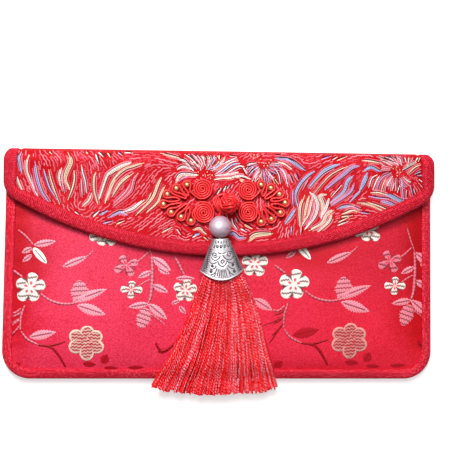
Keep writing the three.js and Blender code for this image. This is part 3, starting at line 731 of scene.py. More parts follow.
def flapEdge():
    stations = []
    for step in foldSteps:
        def fold(r, step=step):
            skin, normal = foldSkin(np.array([flapCut["half"] - r]), step)
            return skin[0], normal[0]
        stations.append((flapStation(fold), 1.0))
    sideTop = pouch["foldY"] - flapCut["reach"]
    sideLow = float(flapEdgeY(flapCut["half"], 0))
    for y in np.linspace(sideTop, sideLow, 9)[1:-1]:
        def side(r, y=y):
            x = flapCut["half"] - r
            return np.array([x, y, float(flapTop(x, y))]), up
        stations.append((flapStation(side), 1.0))
    places, legs = zip(*tape["cornerLegs"])
    probe = 0.02
    for x in tape["cornerPlaces"] + np.linspace(90.5, 0, 62).tolist():
        near = min(x, flapCut["half"] - 2 * probe)
        slope = float(flapEdgeY(near + probe, 0) - flapEdgeY(near - probe, 0)) / (2 * probe)
        inward = np.array([-slope, 1.0]) / math.hypot(slope, 1.0) if x > 0 else np.array([0.0, 1.0])
        y = float(flapEdgeY(x, 0))

        def edge(r, x=x, y=y, inward=inward):
            ex, ey = x + inward[0] * r, y + inward[1] * r
            return np.array([ex, ey, float(flapTop(ex, ey))]), up
        leg = float(np.interp(-x, [-a for a in places], legs))
        stations.append((flapStation(edge), leg))
    return stations


def mirrored(rows):
    rows = np.array(rows)
    return np.concatenate([rows, (rows * np.array([-1.0, 1.0, 1.0]))[-2::-1]])


def tapePiece(name, stations, finish, node):
    rings, seats, rises = [], [], []
    for at, leg in stations:
        ring = []
        for reach, side, height in tape["section"]:
            front, back, normal = at(reach * leg if reach > 2 else reach)
            if side == 0:
                ring.append((front + back) / 2)
            else:
                ring.append((front + normal * height) if side > 0 else (back - normal * height))
        rings.append(ring)
        front, back, normal = at(tape["ribPlace"] * leg)
        seats.append(front + normal * tape["ribRise"])
        rises.append(normal)
    rings, seats, rises = mirrored(rings), mirrored(seats), mirrored(rises)
    along = lengthAlong(rings[:, tape["crest"]]) / tape["mapScale"]
    loop = rings[len(rings) // 2]
    around = lengthAlong(np.concatenate([loop, loop[:1]])) / tape["mapScale"]
    points, faces, uv = tubeOf(rings, along=along, around=around)
    return settle(addPiece(name, points, faces, finish, uv), "tape", node), seats, rises


def ribTree():
    tree, start, end = newTree("tapeRibs", [
        ("Length", "NodeSocketFloat", 0.0015), ("Thickness", "NodeSocketFloat", 0.0003),
        ("Slant", "NodeSocketFloat", 0.4), ("Seed", "NodeSocketInt", tape["ribSeed"])])
    length, thick = start.outputs["Length"], start.outputs["Thickness"]
    bead = put(tree, "GeometryNodeMeshUVSphere", {"Segments": 7, "Rings": 5, "Radius": 0.5})
    size = put(tree, "ShaderNodeCombineXYZ", {"X": length, "Y": thick, "Z": thick})
    rise, run = named(tree, "rise", "FLOAT_VECTOR"), named(tree, "run", "FLOAT_VECTOR")
    first = put(tree, "FunctionNodeAlignRotationToVector", {"Vector": rise}, axis="Z")
    second = put(tree, "FunctionNodeAlignRotationToVector", {"Rotation": first.outputs[0], "Vector": run},
                 axis="X", pivot_axis="Z")
    least, most, seed = -tape["ribWobble"], tape["ribWobble"], start.outputs["Seed"]
    wobble = put(tree, "FunctionNodeRandomValue", {2: least, 3: most, "Seed": seed}, data_type="FLOAT")
    lean = calc(tree, "ADD", start.outputs["Slant"], wobble.outputs[1])
    angle = put(tree, "ShaderNodeCombineXYZ", {"Z": lean})
    turn = put(tree, "FunctionNodeEulerToRotation", {"Euler": angle.outputs[0]})
    spin = put(tree, "FunctionNodeRotateRotation",
               {"Rotation": second.outputs[0], "Rotate By": turn.outputs[0]}, rotation_space="LOCAL")
    spread = put(tree, "GeometryNodeInstanceOnPoints", {
        "Points": start.outputs["Geometry"], "Instance": bead.outputs["Mesh"],
        "Rotation": spin.outputs[0], "Scale": size.outputs[0]})
    return endTree(tree, spread.outputs[0], ribRed, end)


def tapeRibs(name, seats, rises):  # set at an even pitch, leaning across the run of the tape
    steps = lengthAlong(seats)
    marks = np.arange(tape["ribPitch"] / 2, steps[-1], tape["ribPitch"])
    spots, rise = rowsAt(marks, steps, seats), rowsAt(marks, steps, rises)
    run = rowsAt(marks + 0.2, steps, seats) - rowsAt(marks - 0.2, steps, seats)
    run = run / np.maximum(np.linalg.norm(run, axis=1, keepdims=True), 1e-9)
    guide = guideMesh(name, spots[:, None, :], {"run": ("FLOAT_VECTOR", np.cross(rise, run)),
                                                "rise": ("FLOAT_VECTOR", rise)})
    grow(guide, ribs, {"Length": tape["ribLength"] * mm, "Thickness": tape["ribThick"] * mm,
                       "Slant": tape["ribSlant"], "Seed": tape["ribSeed"]})
    return settle(guide, "tape")


ribs = ribTree()
bodyTape, bodySeats, bodyRises = tapePiece("bodyTape", bodyEdge(), tapeRed, "body_binding")
flapTape, flapSeats, flapRises = tapePiece("flapTape", flapEdge(), flapTapeShadedRed, "flap_binding")
bodyRibs = tapeRibs("bodyTapeRibs", bodySeats, bodyRises)
flapRibs = tapeRibs("flapTapeRibs", flapSeats, flapRises)
print("tapes made")


# woven floats: thread lying on the cloth in strips that taper to both ends
plain = (1.0, 1.0, 1.0, 1.0)
threadTones = {
    "c": tone(253, 231, 197), "b": tone(184, 203, 247), "l": tone(208, 174, 228), "w": tone(255, 252, 250),
    "p": tone(255, 176, 192), "s": tone(206, 198, 196), "k": tone(64, 6, 24), "r": tone(246, 110, 130),
    "g": tone(250, 222, 158),
}


# colour from the piece, with small dark breaks along the thread
def threadFinish(name, dash, depth, gap, stretch):
    finish, tree, shader = newFinish(name, Roughness=0.45, Specular_IOR_Level=0.3)
    spot = objectSpot(tree)
    along = calc(tree, "MULTIPLY_ADD", grain(tree, spot, 700.0, 1.0), 0.9, attribute(tree, "run"))
    line = ramp(tree, calc(tree, "PINGPONG", along, dash / 2), gap, gap - 0.18)
    thread = grain(tree, spot, 1.0, 1.0, stretch)
    shade = blend(tree, thread, (0.88, 0.82, 0.82, 1.0), plain)
    toned = product(tree, attribute(tree, "tint", "Color"), shade)
    broken = product(tree, toned, (0.42, 0.1, 0.14, 1.0))
    wire(tree, blend(tree, calc(tree, "MULTIPLY", line, depth), toned, broken), shader.inputs["Base Color"])
    bump(tree, shader, thread, 0.00012, 0.7)
    return finish


satinRun, flapRun = (2600.0, 700.0, 900.0), (2400.0, 900.0, 900.0)  # stretch of the grain
blossomThread = threadFinish("blossomThread", 1.2, 0.0, 0.24, satinRun)
twigThread = threadFinish("twigThread", 1.7, 0.55, 0.42, satinRun)
flapThread = threadFinish("flapThread", 1.05, 0.45, 0.24, flapRun)
petalThread = threadFinish("petalThread", 1.15, 0.4, 0.24, flapRun)


def stored(tree, geometry, name, value, kind):
    wires = {"Geometry": geometry.outputs[0], "Name": name, "Value": value}
    return put(tree, "GeometryNodeStoreNamedAttribute", wires, data_type=kind, domain="POINT")


def strandTree(name, mode, twisted):  # strands along guide lines; a twisted cord keeps its length and turn
    tree, start, end = newTree(name, [("Swell", "NodeSocketFloat", 1.0), ("Sides", "NodeSocketInt", 4),
                                      ("Finish", "NodeSocketMaterial", blossomThread)])
    line = put(tree, "GeometryNodeMeshToCurve", {"Mesh": start.outputs["Geometry"]})
    curve = put(tree, "GeometryNodeSetCurveNormal", {"Curve": line.outputs[0]}, mode=mode)
    ring = put(tree, "GeometryNodeCurvePrimitiveCircle", {"Resolution": start.outputs["Sides"], "Radius": 1.0},
               mode="RADIUS")
    if twisted:
        length = put(tree, "GeometryNodeSplineParameter").outputs["Length"]
        curve = stored(tree, curve, "run", length, "FLOAT")
        ring = stored(tree, ring, "turn", put(tree, "GeometryNodeInputPosition").outputs[0], "FLOAT_VECTOR")
    size = put(tree, "ShaderNodeCombineXYZ", {"X": 1.0, "Y": start.outputs["Swell"], "Z": 1.0})
    oval = put(tree, "GeometryNodeTransform", {"Geometry": ring.outputs[0], "Scale": size.outputs[0]})
    body = put(tree, "GeometryNodeCurveToMesh", {
        "Curve": curve.outputs[0], "Profile Curve": oval.outputs[0],
        "Scale": named(tree, "halfWidth", "FLOAT"), "Fill Caps": True})
    return endTree(tree, body.outputs[0], start.outputs["Finish"], end)


floats = strandTree("wovenFloats", "Z_UP", False)
flatStrands = strandTree("flatStrands", "Z_UP", True)
roundStrands = strandTree("roundStrands", "MINIMUM_TWIST", True)
runShift = 0.37  # lets neighbouring floats break at other places


def layStrands(name, tree, strands, swell, sides, finish):  # strands are (line, half widths, colour)
    lines = [s[0] for s in strands]
    widths = np.concatenate([np.broadcast_to(s[1], len(s[0])) * mm for s in strands])
    tints = np.concatenate([np.tile(s[2], (len(s[0]), 1)) for s in strands])
    runs = np.concatenate([lengthAlong(line) + runShift * k for k, line in enumerate(lines)])
    guide = guideMesh(name, lines, {"halfWidth": ("FLOAT", widths), "tint": ("FLOAT_COLOR", tints),
                                    "run": ("FLOAT", runs)})
    return grow(guide, tree, {"Swell": swell, "Sides": sides, "Finish": finish})


def layFloats(name, strips, swell, finish, slot):
    return settle(layStrands(name, floats, strips, swell, 4, finish), slot)


# flap pattern: long curling petals, each a colour letter, a half width and its points from tip to base
petalChart = (
    "b 0.86 -90.8,54.6 -91.8,52.1 -91.3,48.9 -90.8,46.4; w 0.73 -92.7,43.3 -91.8,40.4 -90.4,37.6; "
    "c 0.73 -87.2,53.1 -88.3,49.6 -88.2,45.8 -87.3,43.3 -86,40.2 -83.7,35.5; "
    "l 0.46 -86.3,44.3 -85.5,40.8 -84.1,36.4; b 1 -84.8,50.3 -84.3,46.2 -83.3,41.5 -81.6,36.8 -79,33; "
    "l 0.59 -80.7,46.9 -79.7,43.4 -77.8,38.1 -75.3,34.3; "
    "c 0.46 -78.4,46.6 -77.5,42.5 -75.9,37.8 -73.8,32.3; c 0.91 -72.7,47.6 -73.8,43.8 -73.4,41; "
    "l 0.59 -72.2,46.3 -72.5,42.2 -71.5,37.5; c 1.36 -70,54.6 -68.5,50.2 -70.1,46.1 -71,42.6 -69.8,39.8; "
    "c 0.64 -67.1,46.4 -66.9,42.6 -67.8,38.2 -69.2,34.4; "
    "w 0.55 -63.8,49 -63.3,45.8 -62.2,42.1 -61.5,37.7; l 0.59 -63.9,42.7 -63.6,39.2 -63.4,35.7; "
    "c 0.68 -59.3,36.4 -60.2,33.3 -62.2,31.3; c 0.64 -57.6,53.8 -56,49.4; c 0.68 -61.8,54.6 -61,54.1; "
    "w 0.68 -57.3,45.6 -58.1,43.1 -58.1,38 -56.7,32.7; c 0.55 -78.3,54.6 -77,53.5; "
    "w 1.18 -41.4,50.1 -44.9,48.9 -48,47.3 -50.8,45.4 -52.4,43.8 -55.1,35.5; "
    "c 0.77 -35.7,50.3 -40.5,48.7 -44.2,47.4 -47.7,44.5 -50.5,40.3 -52.6,33.3; "
    "c 0.91 -40.4,45.8 -44.2,42.9 -46.7,40.4 -49.2,36.2; c 0.46 -48.6,42.6 -50.7,37.8 -52.3,33.7; "
    "p 1.05 -38.2,45.6 -40.1,42.4 -41.3,37.6 -44.7,34.1 -48.2,31.2; "
    "l 0.55 -41.6,41.1 -44.1,36.9 -48.2,32.8; w 0.91 -35.6,33.6 -38.4,31.3 -40.9,29.4 -44.3,28.1; "
    "c 1 -27.8,43.8 -29.6,40 -31.2,35.5 -33.7,32 -38,27.8; "
    "c 0.82 -26.1,40.3 -28,36.2 -29.5,32.4 -33.3,28.8; c 0.36 -32.4,36.8 -34,33.3 -37.7,30.4; "
    "w 0.64 -56.3,54.6 -54,52.6; k 0.46 -53.7,54.6 -52.8,52.3; w 0.55 -52.2,54.5 -50.9,52.3; "
    "k 0.46 -49,54.6 -48.4,52.7; b 0.59 -47.4,54.6 -45.5,53.3; w 0.55 -44.6,54.6 -40.8,54.6; "
    "c 0.68 -28.5,54.6 -24.7,53.7 -20.9,52.8; w 0.73 -21.2,52.1 -17.4,51.2 -14.5,48.1; "
    "k 0.36 -20.9,51 -16.1,50.5 -13.2,48.1; w 0.73 -20.8,47.4 -18,48.7 -15.1,47.8; "
    "w 1.18 -21.4,41.4 -18.9,44.9 -13.2,45; l 0.46 -20.1,42 -17.9,43.6 -15.7,44.6; "
    "w 0.41 -17.4,54.4 -14.2,52.2 -10.7,48.2; k 0.41 -15.8,54.6 -13.3,52.6 -10.3,49.1; "
    "w 0.41 -14.2,54.6 -12.1,52.7 -10.6,50.4; w 0.41 -11.5,54.1 -9.5,50.7 -10,48.4; "
    "k 0.32 -12.7,54.1 -10.7,51.5 -10,49.2; w 0.41 -15,51.7 -12.1,47.7; c 0.41 -9.5,54.1 -8.1,52.1; "
    "c 0.36 -7.5,53.6 -6.6,52.4; s 0.82 -4,54.2 -5.2,51.9 -6.9,49; c 0.91 -2,54.2 -1.7,52.2; "
    "l 0.59 -0.5,51.7 -2.5,49 -5.1,48.1; c 0.73 0.9,53.7 -0.5,50.8 -3.7,47.9; "
    "c 0.5 6.2,53.2 2.4,51.4 0.7,50.5; c 0.55 7,51.8 3.6,50.9 0.4,48.2 -2.5,46.2; "
    "b 0.64 7.9,50.6 4.7,50 1.3,47.7 -1.3,45.6; c 0.59 9.7,49.2 7.1,49.2 3.9,47.4 2.2,46.2; "
    "w 0.68 7.1,46.6 3.6,45.7 -1.9,45; w 0.68 12.7,43.5 8.3,44.9 3.6,44.2 -2.4,43.3; "
    "c 0.91 8,42.5 9.8,43.1; c 0.73 11.2,45.8 8.8,49.2; w 0.32 12.9,50.7 10.6,48.1; "
    "w 0.36 13.8,49 11.8,46.6; w 0.36 16.2,49 13.2,47; w 0.41 16.7,47 14.7,45.2 13.8,43.2; "
    "w 0.41 17.9,46.7 17,45 15.6,43.2; l 0.46 19.3,47 18.8,44.7 19.4,42.1; "
    "b 0.41 22,46.5 20.8,44.5 21.2,42.1; w 0.41 22.3,44.8 23.8,41.6; "
    "w 0.46 23.1,49.4 25.5,45.7 26.1,42.8; l 0.5 24.3,50 27.2,47.2 29.3,42.8; "
    "c 0.36 23.8,43.6 25.5,41.3; w 0.46 25.1,51.5 28.1,50.7 30.4,49.2; "
    "b 0.82 23.6,52.9 26.6,52.9 30.1,52.7; p 0.59 23.6,54.2 27.1,54.4; p 0.5 2.9,53.7 6.4,53.5; "
    "b 1.09 27.7,53.4 31,52.1 33.9,50.2 36.1,48.8; w 0.36 26.1,50.6 28.3,50.4 30.5,48.8; "
    "w 0.46 26.1,49 28.3,46.2 29.5,41.6; l 0.73 30,46 32,41.9; l 0.82 32.8,46.3 34.5,43; "
    "b 0.91 42,47.5 38.7,45.3 35.6,41.9 33.7,38.3 33.3,35.5 34.3,31.7; "
    "l 0.59 32.2,39.1 31.9,35.5 32.2,32.5; p 0.46 39,43.4 36.5,38.9; "
    "b 1.05 53.7,50.9 49.8,49.6 46.2,47.6 44,45.4 40.4,41.2; "
    "c 0.41 57.4,50 53.5,48.3 49.6,46 46.2,42.6 42.4,38.1; "
    "b 1.18 62.7,50.1 59.4,49.5 55.7,46.4 51.8,43.3 48.5,40.4; "
    "b 1.14 60.1,45.9 57.2,43.1 55.6,38.6 50.8,34.4; l 0.77 60.3,42.5 59.2,38.9 55.6,35.8 51.1,32.7; "
    "c 0.32 54.7,41.4 49.7,35.7; c 0.91 37.5,36.7 35.7,32.2 35.2,27.8 35.4,23.7; "
    "c 0.82 39.6,36.2 38.5,32.3 37.4,26.7; c 0.82 41.3,36.2 40.2,31.8 39.3,27.9 36.8,23.7; "
    "w 1.09 39.9,38.1 42.7,35.1 43.5,31 41.9,26.2 38.8,22.3; p 0.55 41.8,33.7 41.8,29.6 39.6,24.3; "
    "c 1.36 47.7,36.8 44.6,36 46,32.4 45.5,27.9; c 1 48.8,35.2 47.4,30.7 45.8,27.9; "
    "c 1.09 51.1,29.9 48,28.2 45.8,24.1 41.3,21.3; c 0.82 50,28.5 48.9,24.7 44.1,20.2; "
    "b 0.86 33.5,30.6 31.5,27.2 29.6,24.7; l 0.55 31.6,22.3 31.3,18.4; l 0.64 36,22 35.7,18.4; "
    "b 0.82 52.5,30 55.6,31.4 59,31.7; c 0.55 54.7,28 59.5,29.5; c 0.55 54.5,26.7 59.8,27.5; "
    "c 0.5 53.1,24.2 58.1,26.7; w 0.46 52.8,22.8 57.8,24.8; l 0.55 45,52.8 50,54.6; "
    "w 0.41 50.3,52.8 52.8,54.3; w 0.46 52.3,52.4 57.3,54.6; w 0.59 63.9,52.7 67.5,52.5 71.4,51.9; "
    "p 0.68 72.2,52.3 75,50; b 0.82 64.3,47.4 67.8,49.6 71.4,48.3; b 1.36 66.7,47.1 65.2,43.6 63.8,40.4; "
    "b 0.82 63.3,38.8 58.4,33.6; s 0.68 71,54.6 75.2,52.9 79.7,51.7; "
    "w 0.41 74.6,54.6 77.4,53.8 79.9,51.8; c 0.36 77.4,54.6 79.4,53.8 80.5,51.7; "
    "p 0.36 79.1,54.6 80.7,53.6; w 0.36 80.7,54.6 82.1,53.3 82.4,52; p 0.41 82.4,54.6 83.6,52; "
    "c 0.41 84.4,54.6 84.7,52.5; c 0.41 86.3,54.6 86.1,53.1 85.5,51.5; p 0.41 88.3,54.6 87.2,52.6; "
    "w 0.55 90.6,54.6 89.2,52.6; c 0.41 91.7,54.6 90.6,52.7; s 0.91 89.8,52.4 86.9,51.2 84.4,49.6; "
    "w 0.46 91.8,51.3 88.9,49.9 86.4,47.7; p 0.41 92.1,49.4 89.3,47.8; l 0.41 91.8,48.1 88.7,46.7; "
    "l 0.46 92.7,46.2 90.1,46.2; w 0.41 92.8,43.2 91,44.5; p 0.36 92.8,40.8 90.8,42.9; "
    "p 0.36 92,38.9 90.2,41.3; l 0.41 88.5,40.2 89.4,37.5; l 0.41 86.8,41.8 88.3,36.4; "
    "w 0.46 71.2,46.4 68.7,44.7 67.6,41.5; w 0.5 72.3,45.9 70.9,43.7 69.6,40.5; "
    "l 0.41 73.9,45.4 72.3,43.2 71.1,39.9; w 0.41 75.3,44.6 74,42.1 73.2,39.2; "
    "p 0.41 76.2,43.8 74.8,38.9; l 0.55 77.7,44.1 76.6,40; w 0.41 79.2,42.7 78.2,39.2; "
    "p 0.41 80.1,40.6 79.6,39; w 0.41 81.8,41.7 80.7,38.2; l 0.5 82.6,43.1 83.2,39.6 83.5,36.3; "
    "p 0.41 85.1,39.6 84.9,35.8; w 0.55 68,38 71.5,38.1 74.9,37.3; "
    "b 1.18 74.9,37.6 78.2,36.3 82.1,34.4 85.5,34.5; l 0.55 67.1,36.4 71.5,35.6 75.4,35.4; "
    "b 1 72.9,34.3 76.5,33.5 79.6,32.2; c 0.73 61.7,33.1 65.8,32.9 69.9,31.6 73.8,29.7; "
    "c 0.55 66.6,33.7 71.6,32.1 76,30.3; l 0.59 56.2,30.9 58.7,31.7 62.8,30.4; "
    "c 0.55 56.2,28.7 59.5,29.8 61.7,29.3; l 0.55 63.3,28.8 68,28.3; "
    "w 0.82 -13.4,20 -10.5,20.9 -8.7,19.4; l 0.82 -12.5,17.6 -10.3,18.5; w 0.46 -8.5,17 -6.5,15.5; "
    "w 0.55 -13.6,16.7 -11.2,17.9; c 0.59 4.2,25.7 4.7,23.3 6,21.5; s 0.64 5.8,25.9 6.9,23.5; "
    "w 0.64 8.2,20.9 11.1,19.4; w 0.73 10,22.7 13.7,20.8; l 0.91 3.2,18 4.9,18.7 7.4,16.7 9.1,16.7; "
    "c 1.46 11.6,15 14.9,17.9 20.6,18.6; k 0.46 -4,35.7 -1.6,38.6; w 0.41 -2.5,36.4 -0.7,39.3; "
    "k 0.41 -0.9,37.1 0.4,39.7; w 0.55 0.4,37.8 1.5,40.2; s 0.55 1.9,38.7 3,40.6; "
    "p 0.46 3.7,39.1 4.8,41.1; c 0.64 -2.5,43.2 0.3,43.6 3.6,43.5; w 0.46 5.2,44.4 8,44; "
    "c 0.64 7.6,42.9 9.8,43.2; w 0.64 -58.4,25.4 -55.5,28.4; b 0.73 -55.5,26.2 -51.7,28.4; "
    "b 0.86 -51.7,24.9 -46.4,27.7 -44.7,27.1; b 0.64 -54.6,22.2 -49.3,23.9; w 0.5 -47.9,22.3 -44.3,23.9; "
    "w 0.46 -66.5,27.7 -64.9,26.6; w 0.46 -27.4,18.7 -22.7,21.4; w 0.41 -20.7,20.4 -19,18; "
)
flowerHearts = [
    (-11.2, 46.3), (-9.0, 44.9), (-7.1, 46.4), (-4.9, 45.0), (-5.6, 43.5), (-6.8, 44.9), (18.7, 49.6),
    (20.3, 49.7), (21.0, 51.0), (21.9, 52.3), (18.4, 50.8), (16.4, 51.1), (15.8, 53.9), (14.3, 54.5),
    (17.2, 52.5), (18.7, 54.3), (12.8, 53.9), (14.0, 53.0), (78.6, 49.2), (80.2, 50.0), (81.7, 48.7),
    (82.2, 47.6), (80.6, 46.0), (80.8, 47.4),
]


def flapSkin(x, y):  # outside of the flap, over its top and round the fold
    x, y = np.asarray(x, float), np.asarray(y, float)
    foldStart = pouch["foldY"] - flapCut["reach"]
    low, high = backUnder(x, np.full_like(x, pouch["mouthY"])), flapTop(x, np.full_like(x, foldStart))
    rise = np.sqrt(np.maximum(0.0, 1 - (np.clip(y - foldStart, 0, flapCut["reach"]) / flapCut["reach"]) ** 2))
    return np.where(y > foldStart, low + (high - low) / 2 * (1 + rise), flapTop(x, y) + flapSwell(x, y))


flapThreads = {
    "mix": {"c": "cccw", "b": "bbbl", "l": "llbp", "w": "wwwc", "p": "ppr", "s": "ssw", "k": "k"},
    "narrow": 0.72, "thread": 0.62, "threadFill": 0.44, "threadLeast": 0.16, "edge": 5.3, "foldEdge": 55.3,
    "seed": 7, "flank": 0.3, "flankGap": 0.24, "bedAside": 0.18, "bedGrow": 0.33, "darkTop": 53.5,
    "brightLift": 0.07, "roseLift": 0.03, "bedLift": -0.01, "heartLift": 0.08, "swell": 0.45, "bedSwell": 0.1,
    "linePitch": 1.0, "lineHalf": 0.34, "lineReach": 11.0, "lineEdge": 6.3, "stride": 0.45, "wobble": 0.16,
    "seedPitch": 0.8, "roseLow": tone(220, 44, 70), "roseHigh": tone(248, 150, 166),
}
# middle, nearest and farthest reach, first and last direction, count, colours in turn
flapRays = [
    ((18.4, 50.8), 4.2, 8.6, 178, 368, 23, "wklkbkl"), ((-7.6, 46.2), 4.4, 9.2, 30, 156, 12, "wklkwk"),
    ((81.0, 48.4), 5.0, 9.6, 70, 320, 18, "lpklpw"),
]
rayHalf, rayCurl = 0.42, np.array([0.14, 0.05, 0.0])


def flapRoom(line):  # distance in from the sides and the curved edge of the flap
    x = np.abs(line[:, 0])
    return np.minimum(flapCut["half"] - x, line[:, 1] - flapEdgeY(np.minimum(x, flapCut["half"]), 0))


def onFlap(line, lift):
    return np.concatenate([line, (flapSkin(line[:, 0], line[:, 1]) + lift)[:, None]], 1)


def headings(line):
    run = np.gradient(line, axis=0)
    run /= np.maximum(np.linalg.norm(run, axis=1, keepdims=True), 1e-9)
    return run, np.stack([-run[:, 1], run[:, 0]], -1)


def addFloat(group, line, widths, lift, colour):
    kept = (flapRoom(line) > flapThreads["edge"]) & (line[:, 1] < flapThreads["foldEdge"])
    if kept.sum() > 2:
        group.append((onFlap(line[kept], lift), np.broadcast_to(widths, len(line))[kept], colour))


def roseTone(chance):
    share = chance.random()
    return tuple(lerp(a, b, share) for a, b in zip(flapThreads["roseLow"], flapThreads["roseHigh"]))


def chartPetals(chance):  # charted petals, and the short rays round the flower hearts
    petals = []
    for entry in petalChart.split(";"):
        words = entry.split()
        if len(words) > 3:
            spots = np.array([[float(v) for v in w.split(",")] for w in words[2:]])
            petals.append((words[0], float(words[1]), spots))
    for (x, y), near, far, first, last, count, letters in flapRays:
        for k in range(count):
            degrees = lerp(first, last, (k + 0.5) / count) + chance.uniform(-2.5, 2.5)
            tip, base = far + chance.uniform(-1.6, 0.8), near + chance.uniform(-0.4, 0.4)
            reach = np.array([tip, (near + far) / 2, base])
            spots = polar(x, y, reach, math.radians(degrees) + rayCurl)
            petals.append((letters[k % len(letters)], rayHalf, spots))
    return petals


def petalFloats(chance):  # bright threads of the petals on a dark bed, with rose threads beside them
    bright, beds, flanks, marks = [], [], [], []
    flank = flapThreads["flank"]
    for letter, width, spots in chartPetals(chance):
        width *= flapThreads["narrow"]
        if letter == "k" and spots[:, 1].mean() > flapThreads["darkTop"]:
            continue
        last = spots[-1] - spots[-2]
        if len(spots) > 2:  # long petals run out in a thin tail
            spots = np.concatenate([spots, [spots[-1] + last / np.linalg.norm(last) * (0.8 + 1.6 * width)]])
        line = curveThrough(spots, max(4, 16 // (len(spots) - 1)))
        run, side = headings(line)
        t = np.linspace(0, 1, len(line))
        taper = (0.3 + 0.7 * smooth(t, -0.08, 0.2)) * (1 - 0.74 * smooth(t, 0.38, 1.0))
        outer = width * taper
        if letter != "k" and len(spots) > 3:
            for way in (-1, 1):
                beside = line + side * (way * (outer + flapThreads["flankGap"] + flank) + 0.1)[:, None]
                beside = beside[chance.randint(0, 4):len(line) - chance.randint(1, 4)]
                addFloat(flanks, beside, flank, flapThreads["roseLift"], roseTone(chance))
            outer = outer + 0.2 + 2 * flank
        marks.append(np.concatenate([line, run, outer[:, None]], 1))
        count = max(1, int(round(width * 2 / flapThreads["thread"])))
        step = 2 * width / count
        for k in range(count):
            first, end = chance.randint(0, 2), len(line) - chance.randint(0, 3)
            if end - first < 4 or k == count // 2:
                first, end = 0, len(line)
            moved = (line + side * ((k - (count - 1) / 2) * step * taper)[:, None])[first:end]
            blunt = 0.45 + 0.55 * smooth(fromEnds(len(moved)), -1, 2)
            thread = flapThreads["threadFill"] * step * taper[first:end] * blunt
            thread = np.maximum(thread, flapThreads["threadLeast"])
            colour = threadTones[chance.choice(flapThreads["mix"][letter])]
            addFloat(bright, moved, thread, flapThreads["brightLift"], colour)
        if letter != "k":
            bed = width * taper * (0.6 + 0.4 * smooth(t, 0.05, 0.3)) + flapThreads["bedGrow"]
            beside = line + side * flapThreads["bedAside"]
            addFloat(beds, beside[2:-1], bed[2:-1], flapThreads["bedLift"], threadTones["k"])
    return bright, beds, flanks, np.concatenate(marks)


def groundFloats(chance, marks):  # rose threads that run with the nearest petals, at an even pitch
    cell, left, low = 0.25, -98.0, 6.0  # a fine grid of what is taken
    rows, columns = 208, 784
    taken = np.zeros((rows, columns), bool)
    xs, ys = np.arange(-97, 98, 1.0), np.arange(8, 58, 1.0)  # a coarse grid of directions
    flow, away = np.zeros((len(ys), len(xs), 2)), np.zeros((len(ys), len(xs)))
    for j, y in enumerate(ys):
        gap = np.hypot(xs[:, None] - marks[None, :, 0], y - marks[None, :, 1])
        pull = 1 / (gap + 0.6) ** 3
        rise, run = 2 * marks[:, 2] * marks[:, 3], marks[:, 2] ** 2 - marks[:, 3] ** 2
        turn = np.arctan2(pull @ rise, pull @ run) / 2
        flow[j] = np.stack([np.cos(turn), np.sin(turn)], -1)
        away[j] = (gap - marks[:, 4]).min(1)

    def fineCell(x, y):
        return int((x - left) / cell), int((y - low) / cell)

    def coarseCell(x, y):
        row, column = round(y - ys[0]), round(x - xs[0])
        return int(np.clip(row, 0, len(ys) - 1)), int(np.clip(column, 0, len(xs) - 1))

    def take(spots, radius):
        r = int(math.ceil(radius / cell))
        disc = np.hypot(*np.mgrid[-r:r + 1, -r:r + 1]) * cell <= radius
        for x, y in spots:
            i, j = fineCell(x, y)
            if r <= i < columns - r and r <= j < rows - r:
                taken[j - r:j + r + 1, i - r:i + r + 1] |= disc

    def free(spot):
        i, j = fineCell(*spot)
        if not (0 <= i < columns and 0 <= j < rows) or taken[j, i] or spot[1] > flapThreads["foldEdge"]:
            return False
        return flapRoom(spot[None])[0] > flapThreads["lineEdge"]

    def follow(spot, heading, length):
        line = []
        for _ in range(int(length / flapThreads["stride"])):
            way = flow[coarseCell(*spot)]
            heading = 0.55 * heading + 0.45 * (way if way @ heading > 0 else -way)
            heading = heading / np.linalg.norm(heading)
            spot = spot + heading * flapThreads["stride"]
            if not free(spot):
                break
            line.append(spot)
        return line
    for mark in marks:
        take([mark[:2]], mark[4] + 0.5)
    pitch = flapThreads["seedPitch"]
    seeds = [(x + chance.uniform(-0.4, 0.4), y + chance.uniform(-0.4, 0.4))
             for x in np.arange(-92, 92, pitch) for y in np.arange(14, 55.4, pitch)]
    chance.shuffle(seeds)
    rose = []
    for x, y in seeds:
        spot = np.array([x, y])
        if not free(spot):
            continue
        home = coarseCell(x, y)
        bare = math.sin(x * 0.17 + 1.3 * math.sin(y * 0.21)) + math.sin(y * 0.29 + x * 0.05)
        if away[home] > flapThreads["lineReach"] * (1 + 0.4 * bare) or chance.random() < 0.1:
            continue
        long = chance.uniform(2.2, 7.5)
        back, ahead = follow(spot, -flow[home], long), follow(spot, flow[home], long)
        line = np.array(back[::-1] + [spot] + ahead)
        if len(line) < 4:
            continue
        take(line, flapThreads["linePitch"] * 0.82)
        wave = flapThreads["wobble"] * np.sin(np.arange(len(line)) * 1.05 + chance.uniform(0, 6))
        line = line + headings(line)[1] * wave[:, None]
        width = flapThreads["lineHalf"] * chance.uniform(0.75, 1.1)
        widths = width * (0.6 + 0.4 * smooth(fromEnds(len(line)), -1, 2))
        addFloat(rose, line, widths, flapThreads["roseLift"], roseTone(chance))
    return rose


def flapStrips():
    chance = random.Random(flapThreads["seed"])
    bright, beds, flanks, marks = petalFloats(chance)
    rose = groundFloats(chance, marks) + flanks
    for x, y in flowerHearts:
        dot = np.array([(x - 0.22, y), (x, y + 0.05), (x + 0.22, y)])
        bright.append((onFlap(dot, flapThreads["heartLift"]), [0.22, 0.34, 0.22], threadTones["g"]))
    return [layFloats("flapPetals", bright, flapThreads["swell"], petalThread, "brocade"),
            layFloats("flapPetalShades", beds, flapThreads["bedSwell"], flapThread, "brocade"),
            layFloats("flapGroundFloats", rose, flapThreads["swell"], flapThread, "brocade")]


flapPattern = flapStrips()
print("flap pattern laid")

